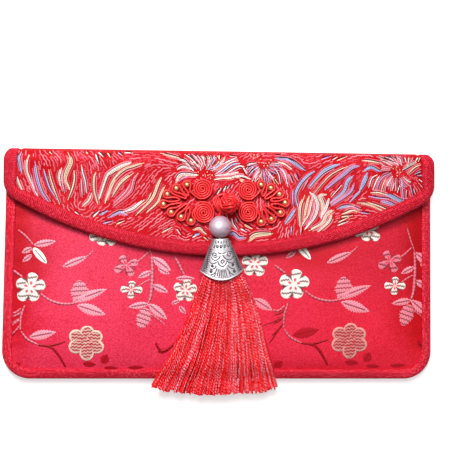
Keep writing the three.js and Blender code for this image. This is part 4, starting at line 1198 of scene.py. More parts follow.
# front pattern: plum twigs, places from the middle of the large white blossom
blossomChart = {
    "repeats": [(-86.5, -6.7, 1.0), (33.3, -4.3, 1.04)],
    # colour, middle, petal middles, half width
    "flowers": [
        ("w", (0, 0), [(1.1, 4.5), (4.6, 1.1), (1.8, -4.0), (-3.3, -3.8), (-4.1, 1.7)], 2.75),
        ("m", (25.4, -24.9),
         [(26, -19.6), (20.6, -21.8), (30.1, -22.0), (20.3, -26.9), (30.7, -26.9), (25.8, -30.4)], 3.3),
        ("w", (33.1, 24.2), [(28.6, 23.3), (32.0, 21.0), (36.3, 21.4), (36.0, 26.4), (30.8, 27.2)], 2.3),
        ("p", (43.2, 10.7), [(41.8, 13.3), (46.5, 11.6), (40.0, 8.9), (45.0, 7.6)], 2.0),
        ("w", (45.7, -0.4), [(42.6, -0.4), (45.9, 2.0), (48.8, -0.6), (45.4, -3.0)], 1.8),
        ("w", (70.2, -0.5), [(70.8, 3.0), (73.7, 0.2), (72.0, -3.8), (68.0, -3.4), (66.7, 0.8)], 2.2),
        ("w", (-17.6, 9.2), [(-17.0, 13.0), (-13.6, 10.2), (-15.3, 5.6), (-19.8, 5.8), (-21.2, 10.4)], 2.4),
    ],
    # colour, base, tip, half width
    "leaves": [
        ("p", (22.8, -6.6), (22.1, 3.6), 3.7), ("p", (19.3, -6.1), (34.7, -0.3), 1.9),
        ("p", (21.3, -7.8), (34.3, -12.0), 2.2), ("e", (-0.1, -22.6), (11.9, -20.1), 2.0),
        ("w", (1.3, 17.9), (7.4, 11.0), 1.6), ("p", (1.6, 19.2), (11.6, 21.1), 1.5),
        ("p", (0.7, 17.9), (-3.9, 15.5), 1.2), ("p", (0.7, 14.8), (-3.6, 11.5), 1.1),
        ("p", (14.6, 9.5), (26.0, 14.5), 1.5), ("p", (55.0, 14.2), (63.5, 8.2), 1.8),
        ("p", (57.7, 9.3), (62.9, 6.7), 1.3), ("p", (54.8, 7.8), (48.5, 4.9), 1.3),
        ("p", (55.2, 1.7), (62.4, -1.7), 1.5), ("p", (53.5, -7.0), (44.3, -8.5), 1.5),
        ("p", (53.5, -7.0), (62.0, -13.9), 1.9), ("p", (53.0, -9.0), (49.6, -18.4), 3.0),
        ("p", (65.8, 4.7), (74.5, 4.8), 1.1), ("p", (63.9, -6.9), (68.0, -5.1), 0.9),
        ("p", (67.5, -8.0), (70.5, -11.5), 1.1), ("p", (-17.5, -6.6), (-9.3, -11.6), 1.9),
        ("d", (24.0, -34.6), (30.2, -35.2), 1.2), ("d", (33.0, -34.6), (35.0, -30.2), 1.8),
        ("d", (33.6, -36.5), (40.0, -36.8), 0.9), ("d", (44.6, -36.4), (52.0, -36.3), 0.9),
        ("d", (-7.8, -37.0), (-4.0, -34.4), 1.6), ("d", (58.0, -29.0), (63.0, -28.4), 1.0),
    ],
    # colour, half width, points
    "twigs": [
        ("p", 0.5, [(4.9, -2.8), (9.0, -5.6), (13.6, -7.0), (17.6, -7.2), (21.0, -6.6)]),
        ("p", 0.45, [(-3.9, -20.0), (-1.0, -23.5), (3.9, -26.0)]),
        ("d", 0.45, [(3.9, -26.0), (9.7, -26.2), (16.0, -24.4)]),
        ("d", 0.5, [(3.9, -26.0), (9.7, -27.1), (13.1, -30.7), (16.3, -36.3)]),
        ("p", 0.45, [(-2.3, -8.1), (-4.0, -13.4), (-4.2, -19.2)]),
        ("e", 0.36, [(-3.6, -11.0), (-5.8, -12.6), (-8.4, -13.6)]),
        ("e", 0.36, [(-4.0, -14.0), (-6.0, -15.8), (-8.6, -17.6)]),
        ("e", 0.36, [(-4.2, -17.0), (-6.2, -19.6), (-9.2, -22.6)]),
        ("e", 0.3, [(-3.4, -13.5), (-8.0, -16.2), (-13.6, -18.4)]),
        ("d", 0.3, [(-3.9, -16.5), (-7.0, -21.0), (-10.3, -26.3)]),
        ("p", 0.4, [(-5.5, 25.9), (-2.0, 23.0), (1.3, 19.4)]),
        ("p", 0.32, [(24.5, 13.8), (26.4, 15.0), (28.2, 16.8)]),
        ("p", 0.34, [(46.4, 11.4), (49.6, 13.2), (53.3, 16.5)]),
        ("p", 0.7, [(54.7, 14.8), (55.1, 7.8), (54.9, 1.7), (54.4, -3.5), (53.5, -6.4)]),
        ("p", 0.3, [(48.8, 1.1), (51.4, 2.8), (54.3, 4.3)]),
        ("p", 0.3, [(53.6, -11.0), (57.4, -13.4), (60.9, -16.3)]),
        ("p", 0.5, [(65.1, 14.6), (67.4, 10.6), (69.9, 5.6)]),
        ("d", 0.5, [(57.0, -25.0), (58.4, -27.4), (60.0, -28.6), (63.4, -27.0), (66.4, -24.6)]),
        ("p", 0.32, [(51.1, 25.3), (52.6, 20.6), (54.7, 15.1)]),
        ("p", 0.3, [(57.9, 25.4), (59.2, 22.8), (60.4, 20.2)]),
        ("p", 0.4, [(-9.0, -11.4), (-6.6, -11.6), (-4.0, -9.6)]),
        ("p", 0.5, [(-8.6, 8.4), (-6.2, 6.6), (-3.6, 4.8)]),
    ],
    "swell": 0.26, "sink": -0.03, "darkSwell": 0.06, "darkRise": 0.05, "footDrop": 0.15,
    "patchEdge": 4.2, "twigEdge": 4.3, "leafGrow": 1.12, "twigGrow": 1.3, "twigLift": 0.03, "twigSwell": 0.4,
}


blossomTones = {  # thread, ground between the threads, drawn line
    "w": (tone(255, 253, 244), tone(246, 230, 218), tone(76, 12, 26)),
    "p": (tone(251, 176, 193), tone(216, 54, 86), tone(124, 6, 34)),
    "m": (tone(240, 208, 192), tone(176, 54, 68), tone(200, 24, 52)),
    # n and q: darker copies of m and p for the right side, painted shade
    "n": (tone(224, 156, 148), tone(172, 44, 56), tone(190, 20, 44)),
    "q": (tone(244, 158, 174), tone(208, 40, 68), tone(120, 6, 30)),
    "d": (tone(186, 8, 34), tone(170, 2, 26), tone(150, 2, 20)),
}


def zigzag(value):
    return 4 * np.abs(value - np.floor(value + 0.5)) - 1


def patchGrid(length, halfWidth):  # shares along and across a patch
    rows, columns = int(np.clip(length / 0.2, 22, 80)), int(np.clip(halfWidth * 10, 12, 36)) + 1
    return np.linspace(0, 1, rows)[:, None], np.linspace(-1, 1, columns)[None, :]


def patchSkin(flat, letter, crown, thread, ink, lift):  # lays a patch of floats on the satin
    top, under, drawn = (np.array(c) for c in blossomTones[letter])
    colour = under + (top - under) * np.clip(thread, 0, 1)[..., None]
    colour = colour + (drawn - colour) * np.clip(ink, 0, 1)[..., None]
    swell, base = ("darkSwell", "darkRise") if letter == "d" else ("swell", "sink")
    z = satinTop(flat[..., 0], flat[..., 1]) + blossomChart[base] + lift
    z = z + blossomChart[swell] * crown * (0.75 + 0.25 * thread) * (1 - 0.6 * ink)
    points = np.concatenate([flat, z[..., None]], -1)
    return points, colour


def patchAxes(base, tip):
    reach = np.linalg.norm(tip - base)
    along = (tip - base) / reach
    return reach, along, np.array([-along[1], along[0]])


def petalPatch(middle, centre, halfWidth, letter, order):
    reach, along, across = patchAxes(middle, centre)
    woven = letter in "mn"
    length = reach * (1.5 if halfWidth > 2.1 else 1.62)
    t, s = patchGrid(length, halfWidth)
    r, belly = t * length, (0.56 if woven else 0.61) * length
    past = np.maximum(r - belly, 0) / (length - belly)
    foot, tip = np.sin(0.5 * np.pi * np.minimum(r / belly, 1)) ** 0.9, np.sqrt(np.maximum(0, 1 - past ** 2))
    width = np.where(r < belly, foot, tip) * (1 + 0.05 * zigzag(r / 0.9))
    offset = s * halfWidth * width
    flat = middle + along * (r + 0 * s)[..., None] + across * offset[..., None]
    crown = (1 - np.abs(s) ** 3) * smooth(t, -0.1, 0.25) * (1 - smooth(t, 0.86, 1.0))
    if woven:  # pale outline round woven rows
        x, y = (flat - middle)[..., 0], (flat - middle)[..., 1]
        rows = 0.5 + 0.5 * np.cos(2 * np.pi * (y - 0.3 * zigzag(x / 1.7) - 0.2 * np.sin(x * 0.9)) / 1.45)
        outline = smooth(np.hypot(past, s) + 0.06 * zigzag(x / 0.9), 0.74, 0.86)
        thread = np.maximum(outline, 0.72 * smooth(rows, 0.4, 0.75))
        ink = 0.8 * np.exp(-((r - 0.42 * reach) / 0.5) ** 2 - (offset / 0.9) ** 2)
        return patchSkin(flat, letter, crown, thread, ink, 0.05 * order)
    x, y = (flat - centre)[..., 0], (flat - centre)[..., 1]
    thread = 0.55 + 0.45 * np.cos(2 * np.pi * offset / 0.62) + 0 * t
    wave = y - 0.24 * zigzag(x / 1.15) - 0.3 * np.sin(x * 0.8 + order * 1.7)
    ink = bell(wave, 0.42) * (1 - smooth(np.abs(s), 0.72, 0.92))
    ink = ink * smooth(t, 0.3, 0.42) * (1 - smooth(t, 0.88, 0.96))
    seam = smooth(np.abs(s), 0.6, 0.84) * (1 - smooth(t, 0.64, 0.84))
    points, colour = patchSkin(flat, letter, crown, thread, np.maximum(ink, 0.95 * seam), 0.012 * order)
    # the satin shows in a drop at the foot of the petal
    drop = np.exp(-(((r - 0.44 * reach) / 0.95) ** 2 + (offset / (0.36 + 0.13 * r)) ** 2) ** 2)
    return points, colour + (np.array(satin["lit"]) - colour) * drop[..., None]


def leafPatch(base, tip, halfWidth, letter):
    length, along, across = patchAxes(base, tip)
    t, s = patchGrid(length, halfWidth)
    blunt, broad = letter == "w", halfWidth > 2.6
    r = t * length
    width = np.sin(np.pi * t ** 0.85) ** (0.6 if blunt or broad else 0.85)
    width = width * (1 + (0.0 if blunt else 0.16) * zigzag(r / 1.3))
    offset = s * halfWidth * width
    flat = base + along * (r + 0 * s)[..., None] + across * offset[..., None]
    if blunt:
        thread = 1 + 0 * offset
        ink = bell(offset, 0.26) * smooth(t, 0.08, 0.2) * (1 - smooth(t, 0.84, 0.95))
        ink = np.maximum(ink, 0.6 * smooth(np.abs(s), 0.86, 0.98))
    elif broad:
        band = (r + 0.25 * zigzag(offset / 1.5)) / 2.1
        ink = 0.9 * (1 - smooth(np.abs(band - np.floor(band) - 0.5) * 2.1, 0.16, 0.4))
        thread = 0.65 + 0.35 * np.cos(2 * np.pi * offset / 0.9)
    else:
        rows = 0.5 + 0.5 * np.cos(2 * np.pi * (r - 0.8 * np.abs(offset)) / 1.3)
        thread = 0.45 + 0.55 * smooth(rows, 0.05, 0.65)
        vein = bell(offset - 0.16 * zigzag(r / 1.0), 0.3)
        ink = vein * smooth(t, 0.03, 0.12) * (1 - smooth(t, 0.78, 0.92))
    crown = (1 - np.abs(s) ** 2.6) * (0.3 + 0.7 * np.minimum(1, width * 1.6))
    return patchSkin(flat, letter, crown, thread, ink, 0.0)


def footUnder(top, shift):  # a lower copy of the faces, and walls round the edge
    ways = [(f[k - 1], f[k]) for f in top for k in range(len(f))]
    inner = set(ways)
    walls = [[b, a, a + shift, b + shift] for a, b in ways if (b, a) not in inner]
    return [[v + shift for v in reversed(f)] for f in top] + walls


# each patch is closed by a foot sunk in the satin, and cut off where the tape covers it
def layPatches(name, patches):
    points, tints, faces, rounded, count = [], [], [], [], 0
    for spots, shade in patches:
        rows, columns = spots.shape[:2]
        spots, shade = spots.reshape(-1, 3), shade.reshape(-1, 4)
        place = list(range(rows * columns))
        place[:columns] = [0] * columns  # both ends run to a point
        place[-columns:] = [(rows - 1) * columns] * columns
        top = [list(dict.fromkeys(place[v] for v in reversed(f))) for f in gridFaces(rows, columns)]
        kept = edgeDistance(spots[:, 0], spots[:, 1]) > blossomChart["patchEdge"]
        if kept.all():
            rims = [(place[r * columns], place[(r + 1) * columns - 1]) for r in range(rows)]
            foot = [list(dict.fromkeys([*a, *reversed(b)])) for a, b in zip(rims[:-1], rims[1:])]
        else:
            top = [f for f in top if kept[f].all()]
            foot = footUnder(top, len(spots))
            spots = np.concatenate([spots, spots - (0, 0, blossomChart["footDrop"])])
            shade = np.concatenate([shade, shade])
        if not top:
            continue
        used = sorted({v for f in top + foot for v in f})
        renumber = {v: count + k for k, v in enumerate(used)}
        points.append(spots[used])
        tints.append(shade[used])
        faces += [[renumber[v] for v in f] for f in top + foot]
        rounded += [True] * len(top) + [False] * len(foot)
        count += len(used)
    tints = np.concatenate(tints)
    tints[:, 3] = 1.0
    piece = addPiece(name, np.concatenate(points), faces, blossomThread, tint=tints, closed=False)
    piece.data.polygons.foreach_set("use_smooth", rounded)
    return settle(piece, "satin")


def frontPattern():
    blossoms, leaves, twigs = [], [], []
    for turn, (x0, y0, scale) in enumerate(blossomChart["repeats"]):
        # painted shade: darker copies of the colours on the right, with the lower sprig dark
        swaps = {"e": "d", "m": "n", "p": "q"} if turn else {"e": "p"}

        def at(spots):
            return np.array([x0, y0]) + np.array(spots) * scale
        for letter, middle, petals, width in blossomChart["flowers"]:
            shade = swaps.get(letter, letter)
            for order, petal in enumerate(petals):
                blossoms.append(petalPatch(at(middle), at(petal), width * scale, shade, order))
        for letter, base, tip, width in blossomChart["leaves"]:
            half = width * scale * blossomChart["leafGrow"]
            leaves.append(leafPatch(at(base), at(tip), half, swaps.get(letter, letter)))
        for letter, width, marks in blossomChart["twigs"]:
            line = curveThrough(at(marks), 8)
            line = line[edgeDistance(line[:, 0], line[:, 1]) > blossomChart["twigEdge"]]
            if len(line) < 3:
                continue
            taper = 0.6 + 0.4 * np.sin(np.pi * np.linspace(0.04, 0.96, len(line)))
            z = satinTop(line[:, 0], line[:, 1]) + blossomChart["twigLift"]
            thread, under, drawn = blossomTones[swaps.get(letter, letter)]
            colour = tuple(lerp(b, a, 0.5) for a, b in zip(thread, under))
            half = blossomChart["twigGrow"] * width * taper
            twigs.append((np.concatenate([line, z[:, None]], 1), half, colour))
    stems = layFloats("plumTwigs", twigs, blossomChart["twigSwell"], twigThread, "satin")
    return [layPatches("plumBlossoms", blossoms), layPatches("plumLeaves", leaves), stems]


plumPattern = frontPattern()
print("front pattern laid")

# frog of satin cord, in its own plane on the flap
frog = {
    "place": (1.25, 32.36), "tilt": -0.06, "seat": 0.42, "coilPitch": 1.03, "start": 0.24, "coilEnd": 62,
    "coilStep": 18, "halfWidth": 0.5, "tall": 2.0, "middle": 1.0, "head": 1.8, "neckBack": 3.1,
    "neckHalf": 0.62, "headTurns": (128, 80, 28, -28, -80, -128), "turnRadius": 0.55, "bead": 1.18,
    "beadRise": 1.2, "red": tone(208, 4, 14), "lit": tone(255, 74, 78),
    "left": {"side": -1, "root": (15.6, 1.1), "upper": (10.67, 6.51, 5.1), "lower": (9.95, -4.4, 5.4),
             "depths": [2.6, 2.6, 5.4, 4.8, 2.6, 3.4],
             "beads": [(17.6, 8.2), (22.4, 6.5), (26.4, 3.8), (28.1, -0.7), (24.6, -4.3), (20.1, -6.3),
                       (15.6, -8.1)]},
    "right": {"side": 1, "root": (15.9, 0.6), "upper": (10.12, 6.24, 4.9), "lower": (10.45, -4.0, 5.1),
              "depths": [3.0, 2.6, 4.8, 5.0, 2.6, 3.4],
              "beads": [(16.1, 8.6), (20.5, 7.2), (24.5, 4.4), (27.1, 0.6), (25.0, -3.9), (20.9, -6.9),
                        (16.2, -8.2)]},
}


def frogPlace(points):
    p = np.asarray(points, float)
    x, y = frog["place"]
    c, s = math.cos(frog["tilt"]), math.sin(frog["tilt"])
    seat = float(flapTop(x, y)) + frog["seat"]
    return np.stack([p[:, 0] + x, p[:, 1] * c - p[:, 2] * s + y, p[:, 1] * s + p[:, 2] * c + seat], -1)


# slanting threads seen round the cord, the lit tone painted highlight along them; groove adds painted shade at
# the sides and painted light on the crest
def cordFinish(name, deep, lit, lobes=6.0, twist=3200.0, groove=0.0, roughness=0.36, swing=0.3, fleck=0.6,
               shift=0.0, ply=0.00008, gloss=0.4):
    finish, tree, shader = newFinish(name, Roughness=roughness, Specular_IOR_Level=gloss, Metallic=gloss * 0.6)
    tint = attribute(tree, "tint", "Color")
    turn = put(tree, "ShaderNodeSeparateXYZ", {"Vector": attribute(tree, "turn", "Vector")})
    angle = calc(tree, "ARCTAN2", turn.outputs["Y"], turn.outputs["X"])
    phase = put(tree, "ShaderNodeSeparateColor", {"Color": tint}).outputs["Green"]
    run = calc(tree, "MULTIPLY_ADD", attribute(tree, "run"), twist, calc(tree, "MULTIPLY", phase, 60.0))
    wave = calc(tree, "SINE", calc(tree, "MULTIPLY_ADD", angle, lobes, run))
    fibre = grain(tree, objectSpot(tree), 1400.0, 1.0)
    flecked = calc(tree, "MULTIPLY_ADD", fibre, fleck, 0.5 - 0.5 * fleck + shift)
    share = calc(tree, "MULTIPLY_ADD", wave, swing, flecked)
    # painted shade on the cord's sides and painted light on its crest, by groove
    crest = calc(tree, "POWER", calc(tree, "ABSOLUTE", turn.outputs["Y"]), 1.6)
    share = calc(tree, "MULTIPLY", share, calc(tree, "MULTIPLY_ADD", crest, 1.5 * groove, 1.0 - groove))
    wire(tree, product(tree, blend(tree, share, deep, lit), tint), shader.inputs["Base Color"])
    bump(tree, shader, share, ply, 0.5)
    return finish


# the frog's flat cord takes painted shade at its sides
frogCord = cordFinish("frogCord", frog["red"], frog["lit"], groove=0.8, swing=0.14)
knotCord = cordFinish("knotCord", frog["red"], tone(250, 56, 62))


def coilPoints(coil, endTurn, spin):  # from the middle of the coil outwards
    x, y, radius = coil
    reach = radius - frog["halfWidth"]
    sweep = (reach - frog["start"]) / frog["coilPitch"] * 2 * math.pi
    share = np.linspace(0, 1, int(round(sweep / math.radians(frog["coilStep"]))) + 1)
    turn = math.radians(endTurn) - spin * sweep * (1 - share)
    r = frog["start"] + (reach - frog["start"]) * share
    return polar(x, y, r, turn).tolist()


def wingLine(wing):
    root = wing["root"]
    loops = []
    for x, y in wing["beads"]:
        dx, dy = x - root[0], y - root[1]
        loops.append(((x, y), math.hypot(dx, dy), math.atan2(dy, dx)))

    def off(origin, angle, along, across):
        return [origin[0] + math.cos(angle) * along - math.sin(angle) * across,
                origin[1] + math.sin(angle) * along + math.cos(angle) * across]
    path = coilPoints(wing["upper"], -frog["coilEnd"], 1)
    for k, (bead, reach, angle) in enumerate(loops):
        path.append(off(root, angle, reach - frog["neckBack"], frog["neckHalf"]))
        for degrees in frog["headTurns"]:
            turn = math.radians(degrees)
            path.append(off(bead, angle, frog["head"] * math.cos(turn), frog["head"] * math.sin(turn)))
        path.append(off(root, angle, reach - frog["neckBack"], -frog["neckHalf"]))
        if k + 1 < len(loops):
            between = (angle + loops[k + 1][2]) / 2
            depth, r = wing["depths"][k], frog["turnRadius"]
            path += [off(root, between, depth + out * r, side * r) for out, side in ((1, 1), (0, 0), (1, -1))]
    path += coilPoints(wing["lower"], frog["coilEnd"], -1)[::-1]
    flat = curveThrough(path, 3)
    return np.stack([wing["side"] * flat[:, 0], flat[:, 1], np.full(len(flat), frog["middle"])], -1)


def frogWing(side):
    line = frogPlace(wingLine(frog[side]))
    width = frog["halfWidth"] * (0.55 + 0.45 * smooth(fromEnds(len(line)), 0, 4))
    strands = [(line, width, plain)]
    piece = layStrands("frogCord" + side.capitalize(), flatStrands, strands, frog["tall"], 12, frogCord)
    settle(piece, "satin_cord", "frog_wing_" + side)


frogWing("left")
frogWing("right")


def goldFinish():
    finish, tree, shader = newFinish("beadGold", Metallic=0.85, Roughness=0.36)
    fleck = grain(tree, objectSpot(tree), 700.0, 2.0)
    wire(tree, blend(tree, fleck, tone(236, 186, 118), tone(255, 234, 184)), shader.inputs["Base Color"])
    bump(tree, shader, fleck, 0.00008, 0.35)
    return finish


goldBead = goldFinish()


def beadTree():
    tree, start, end = newTree("seatedBeads", [("Radius", "NodeSocketFloat", 0.0011)])
    ball = put(tree, "GeometryNodeMeshUVSphere",
               {"Segments": 18, "Rings": 11, "Radius": start.outputs["Radius"]})
    spread = put(tree, "GeometryNodeInstanceOnPoints",
                 {"Points": start.outputs["Geometry"], "Instance": ball.outputs["Mesh"]})
    return endTree(tree, spread.outputs[0], goldBead, end)


def frogBeads():
    spots, nodes = [], []
    for side in ("left", "right"):
        for k, (x, y) in enumerate(frog[side]["beads"]):
            spots.append((frog[side]["side"] * x, y, frog["beadRise"]))
            nodes.append("gold_bead_%s_%d" % (side, k + 1))
    guide = guideMesh("frogBeads", frogPlace(spots)[:, None, :], {})
    settle(grow(guide, beadTree(), {"Radius": frog["bead"] * mm}), "gold", *nodes)


frogBeads()
print("frog made")

# button: a doubled Turk's head of cord, and the loop it passes through
button = {
    "place": (1.4, -0.2, 5.2), "leads": 3, "bights": 5, "rise": math.radians(66), "radius": 3.75, "weave": 0.4,
    "cord": 0.6, "part": 0.165, "axis": (0.72, -0.42, 0.55),
    "coreReach": 3.25, "coreCord": 0.55, "coreTurns": 11, "corePaintedShade": (0.62, 0.5, 0.5, 1.0),
    "loopHalf": 5.3, "loopWide": 4.2, "loopShift": 0.15, "loopCord": 0.52, "loopSwell": 1.3,
    # both ends of the cords wrapped over the loop
    "wraps": [(-5.7, 1.4, -3.0, -3.8), (-5.0, 2.2, -2.2, -4.3), (-4.3, 2.8, -1.4, -4.7),
              (-3.4, 3.0, -0.9, -5.0)],
    "wrapCord": 0.4, "wrapFoot": 1.7,
}


def turnedTo(axis):  # turns the z axis to the given direction
    return np.array(Vector((0, 0, 1)).rotation_difference(Vector(axis)).to_matrix())


def ballKnot():
    leads, bights = button["leads"], button["bights"]
    t = np.linspace(0, 2 * math.pi * leads, 361)
    strands = []
    turned = turnedTo(button["axis"])
    for shift in (-1, 1):
        swing = bights * t / leads
        slope = -button["rise"] * np.sin(swing) * bights / leads
        latitude = button["rise"] * np.cos(swing)
        lean = np.hypot(slope, np.cos(latitude))
        latitude = latitude + shift * button["part"] * np.cos(latitude) / lean
        longitude = t - shift * button["part"] * slope / lean / np.maximum(np.cos(latitude), 0.3)
        radius = button["radius"] + button["weave"] * np.sin(2 * swing)
        across = radius * np.cos(latitude)
        line = np.stack([across * np.cos(longitude), across * np.sin(longitude), radius * np.sin(latitude)], -1)
        line = line @ turned.T + np.array(button["place"])
        line[-1] = line[0]
        strands.append((frogPlace(line), button["cord"], plain))
    settle(layStrands("buttonKnot", roundStrands, strands, 1.0, 9, knotCord), "satin_cord", "button_knot")


def knotHeart():  # cord wound up inside the ball, darkened as painted shade
    t = np.linspace(0.02, 0.98, 420)
    latitude = (t - 0.5) * math.pi
    longitude = t * 2 * math.pi * button["coreTurns"]
    r = button["coreReach"]
    across = r * np.cos(latitude)
    line = np.stack([across * np.cos(longitude), r * np.sin(latitude), across * np.sin(longitude)], -1)
    strand = (frogPlace(line + np.array(button["place"])), button["coreCord"], button["corePaintedShade"])
    settle(layStrands("buttonHeart", roundStrands, [strand], 1.0, 7, knotCord), "satin_cord")


def buttonLoop():
    t = np.linspace(0, 2 * math.pi, 73)
    straight = button["loopHalf"] - button["loopWide"]
    x = button["loopWide"] * np.cos(t) + np.tanh(np.cos(t) * 6) * straight + button["loopShift"]
    y = button["place"][1] + button["loopWide"] * np.sin(t)
    ring = np.stack([x, y, np.full_like(t, frog["middle"])], -1)
    ring[-1] = ring[0]
    strands = [(frogPlace(ring), button["loopCord"], plain)]
    s = np.linspace(0, 1, 22)
    bow = np.sin(np.pi * s)
    for k, (x0, y0, x1, y1) in enumerate(button["wraps"]):
        z = button["wrapFoot"] + (1.0 + 0.35 * k) * bow
        line = np.stack([x0 + (x1 - x0) * s - 0.5 * bow, y0 + (y1 - y0) * s, z], -1)
        strands.append((frogPlace(line), button["wrapCord"], plain))
    piece = layStrands("buttonLoop", flatStrands, strands, button["loopSwell"], 10, frogCord)
    settle(piece, "satin_cord", "button_loop")


ballKnot()
knotHeart()
buttonLoop()
print("button made")

# pearl, cap and tassel hang along one line
hang = {
    "place": (-1.25, 16.55, 19.3), "tilt": 0.035, "turn": 0.05,
    "cordSpan": (-2.6, 11.55), "plyPitch": 2.4, "plyReach": 0.33, "plyHalf": 0.36,
}


def hangPlace(points):
    p = np.asarray(points, float)
    lean = np.array(Matrix.Rotation(hang["turn"], 3, "Z") @ Matrix.Rotation(hang["tilt"], 3, "X"))
    return p @ lean.T + np.array(hang["place"])


def hangCord():
    s = np.linspace(*hang["cordSpan"], 90)
    strands = []
    for ply in (0, math.pi):
        turn = s * 2 * math.pi / hang["plyPitch"] + ply
        line = np.stack([hang["plyReach"] * np.cos(turn), s, hang["plyReach"] * np.sin(turn)], -1)
        strands.append((hangPlace(line), hang["plyHalf"], plain))
    settle(layStrands("tasselCord", roundStrands, strands, 1.0, 9, knotCord), "satin_cord", "tassel_cord")


nacre = {
    "radius": 5.0, "bore": 1.0, "boreWall": (0.86, 0.84, 0.86), "middle": 5.3, "rows": 40, "sides": 56,
    "cloud": tone(214, 190, 206), "fleck": tone(200, 190, 202),
    # painted highlight and shade: bands of colour round the bright side, by how far they are turned from it
    "bright": (-0.22, 0.2, 0.95),
    "paintedLightBands": [(0.0, (250, 246, 250)), (0.03, (222, 212, 222)), (0.08, (172, 156, 174)), (0.18, (182, 152, 166)),
              (0.3, (152, 128, 150)), (0.5, (166, 118, 134)), (0.8, (156, 120, 134)), (2.0, (188, 168, 180))],
}


def pearlFinish():
    finish, tree, shader = newFinish("pearlShell", Roughness=0.5, Specular_IOR_Level=0.8, Coat_Weight=0.4,
                                     Coat_Roughness=0.2, Sheen_Weight=0.5, Sheen_Roughness=0.25,
                                     Sheen_Tint=tone(255, 120, 150))
    spot = objectSpot(tree)
    cloud = grain(tree, spot, 210.0, 2.0, (1.0, 2.2, 1.0))
    fine = grain(tree, spot, 900.0, 2.0)
    share = calc(tree, "MULTIPLY", ramp(tree, cloud, 0.42, 0.7), 0.4)
    # the tint attribute carries the painted highlight and shade of the bands
    body = blend(tree, share, attribute(tree, "tint", "Color"), nacre["cloud"])
    body = blend(tree, calc(tree, "MULTIPLY", fine, 0.24), body, nacre["fleck"])
    wire(tree, body, shader.inputs["Base Color"])
    bump(tree, shader, fine, 0.00003, 0.3)
    return finish


def pearlBall():
    radius, bore, middle = nacre["radius"], nacre["bore"], nacre["middle"]
    gate = math.asin(bore / radius)
    turns = np.linspace(gate, math.pi - gate, nacre["rows"])
    profile = [(radius * math.sin(a), middle - radius * math.cos(a)) for a in turns]
    top, low = profile[-1][1], profile[0][1]
    heights = (top - 0.12, lerp(low, top, 0.5), low + 0.12)
    profile += [(bore * share, y) for share, y in zip(nacre["boreWall"], heights)]
    around = np.linspace(0, 2 * math.pi, nacre["sides"], endpoint=False)
    rings = [[(r * math.cos(a), y, r * math.sin(a)) for a in around] for r, y in profile]
    points, faces, uv = tubeOf(np.array(rings), closed=True)
    # painted highlight and shade, fixed on the pearl: each point takes the band for how far it is turned from
    # the bright side
    away = points - np.array([0.0, middle, 0.0])
    away = 1 - away @ np.array(nacre["bright"]) / np.linalg.norm(away, axis=1)
    steps, paintedLightBands = zip(*nacre["paintedLightBands"])
    tint = rowsAt(away, steps, np.array([tone(*c) for c in paintedLightBands]))
    settle(addPiece("pearlBall", hangPlace(points), faces, pearlFinish(), uv, tint), "pearl", "pearl")


hangCord()
pearlBall()

# cap of stamped silver: lines of its relief by place across and drop from the top
cap = {
    "side": 14.2, "sag": 4.2, "topHalf": 3.5, "baseHalf": 9.75, "topDeep": 2.6, "baseDeep": 4.8, "wall": 0.8,
    "bore": 1.0, "groove": 0.12, "lineHalf": 0.19,
    "lines": [
        [(-4.7, 7.9), (-4.4, 8.8), (-3.4, 9.6), (-2.1, 9.3), (-1.2, 8.6), (-0.7, 7.7)],
        [(0.6, 7.4), (1.2, 8.4), (2.2, 9.2), (3.5, 9.55), (4.6, 9.0), (5.2, 8.0)],
        [(-1.45, 6.15), (-0.9, 6.55), (-0.3, 6.6)], [(0.5, 6.55), (1.2, 6.55), (1.8, 6.1)],
        [(-5.5, 10.4), (-4.6, 11.0), (-3.4, 10.9), (-2.0, 10.1), (-1.7, 11.0), (-1.0, 11.9), (0.1, 12.4),
         (1.2, 12.0), (1.9, 11.1), (2.2, 10.1), (3.4, 10.7), (4.6, 11.0), (5.7, 10.5)],
        [(-2.8, 12.0), (-3.3, 12.9), (-4.3, 13.4), (-5.4, 13.4)],
        [(2.7, 11.9), (3.4, 12.8), (4.4, 13.4), (5.5, 13.6)],
        [(-2.4, 13.2), (-3.0, 14.5), (-3.9, 15.5), (-5.2, 16.0)],
        [(2.1, 13.1), (2.9, 14.4), (3.8, 15.6), (5.0, 16.1)], [(-6.3, 9.0), (-6.6, 11.0), (-7.2, 13.0)],
        [(6.4, 9.0), (6.8, 11.0), (7.4, 13.0)], [(-1.7, 13.6), (-2.5, 16.6)], [(-1.05, 13.9), (-1.6, 17.1)],
        [(-0.4, 13.9), (-0.7, 17.3)], [(0.2, 14.0), (0.2, 17.4)], [(0.8, 13.9), (1.1, 17.3)],
        [(1.4, 13.8), (2.0, 17.0)], [(-3.1, 15.2), (-3.8, 16.6)], [(3.0, 15.2), (3.6, 16.7)],
    ],
    "spirals": [(-3.2, 7.1, 1.3, 1), (3.5, 7.0, 1.3, -1), (-4.4, 11.9, 0.62, 1), (4.9, 11.9, 0.62, -1),
                (-5.1, 14.5, 0.7, -1), (5.4, 14.5, 0.7, 1)],
    "rings": [(0.3, 10.2, 0.72)],
    "drops": [(-3.3, 3.4), (-1.85, 3.6), (-0.1, 3.7), (1.7, 3.6), (3.3, 3.3)],
    "dropShape": [(-0.3, -0.7), (-0.42, 0.0), (0.0, 0.5), (0.42, 0.0), (0.3, -0.7)],
    "nicks": [(-2.4, 1.6), (-1.2, 1.6), (0.0, 1.7), (1.25, 1.6), (2.4, 1.5)],
    # first drop, pitch and count of the feathers down both sides, and their points
    "feathers": (4.6, 0.86, 13), "featherShape": [(0.80, 0.35), (0.90, -0.1), (0.985, 0.2)],
    "featherFoot": 16.5, "sides": 300, "rows": 150, "raised": 0.12, "rimRaised": 0.06, "topRounding": 0.1,
    "rimStart": (0.962, 0.975), "belt": (0.957, 0.009), "mouthCut": 0.35, "boreDrops": (0.0, 0.95),
}


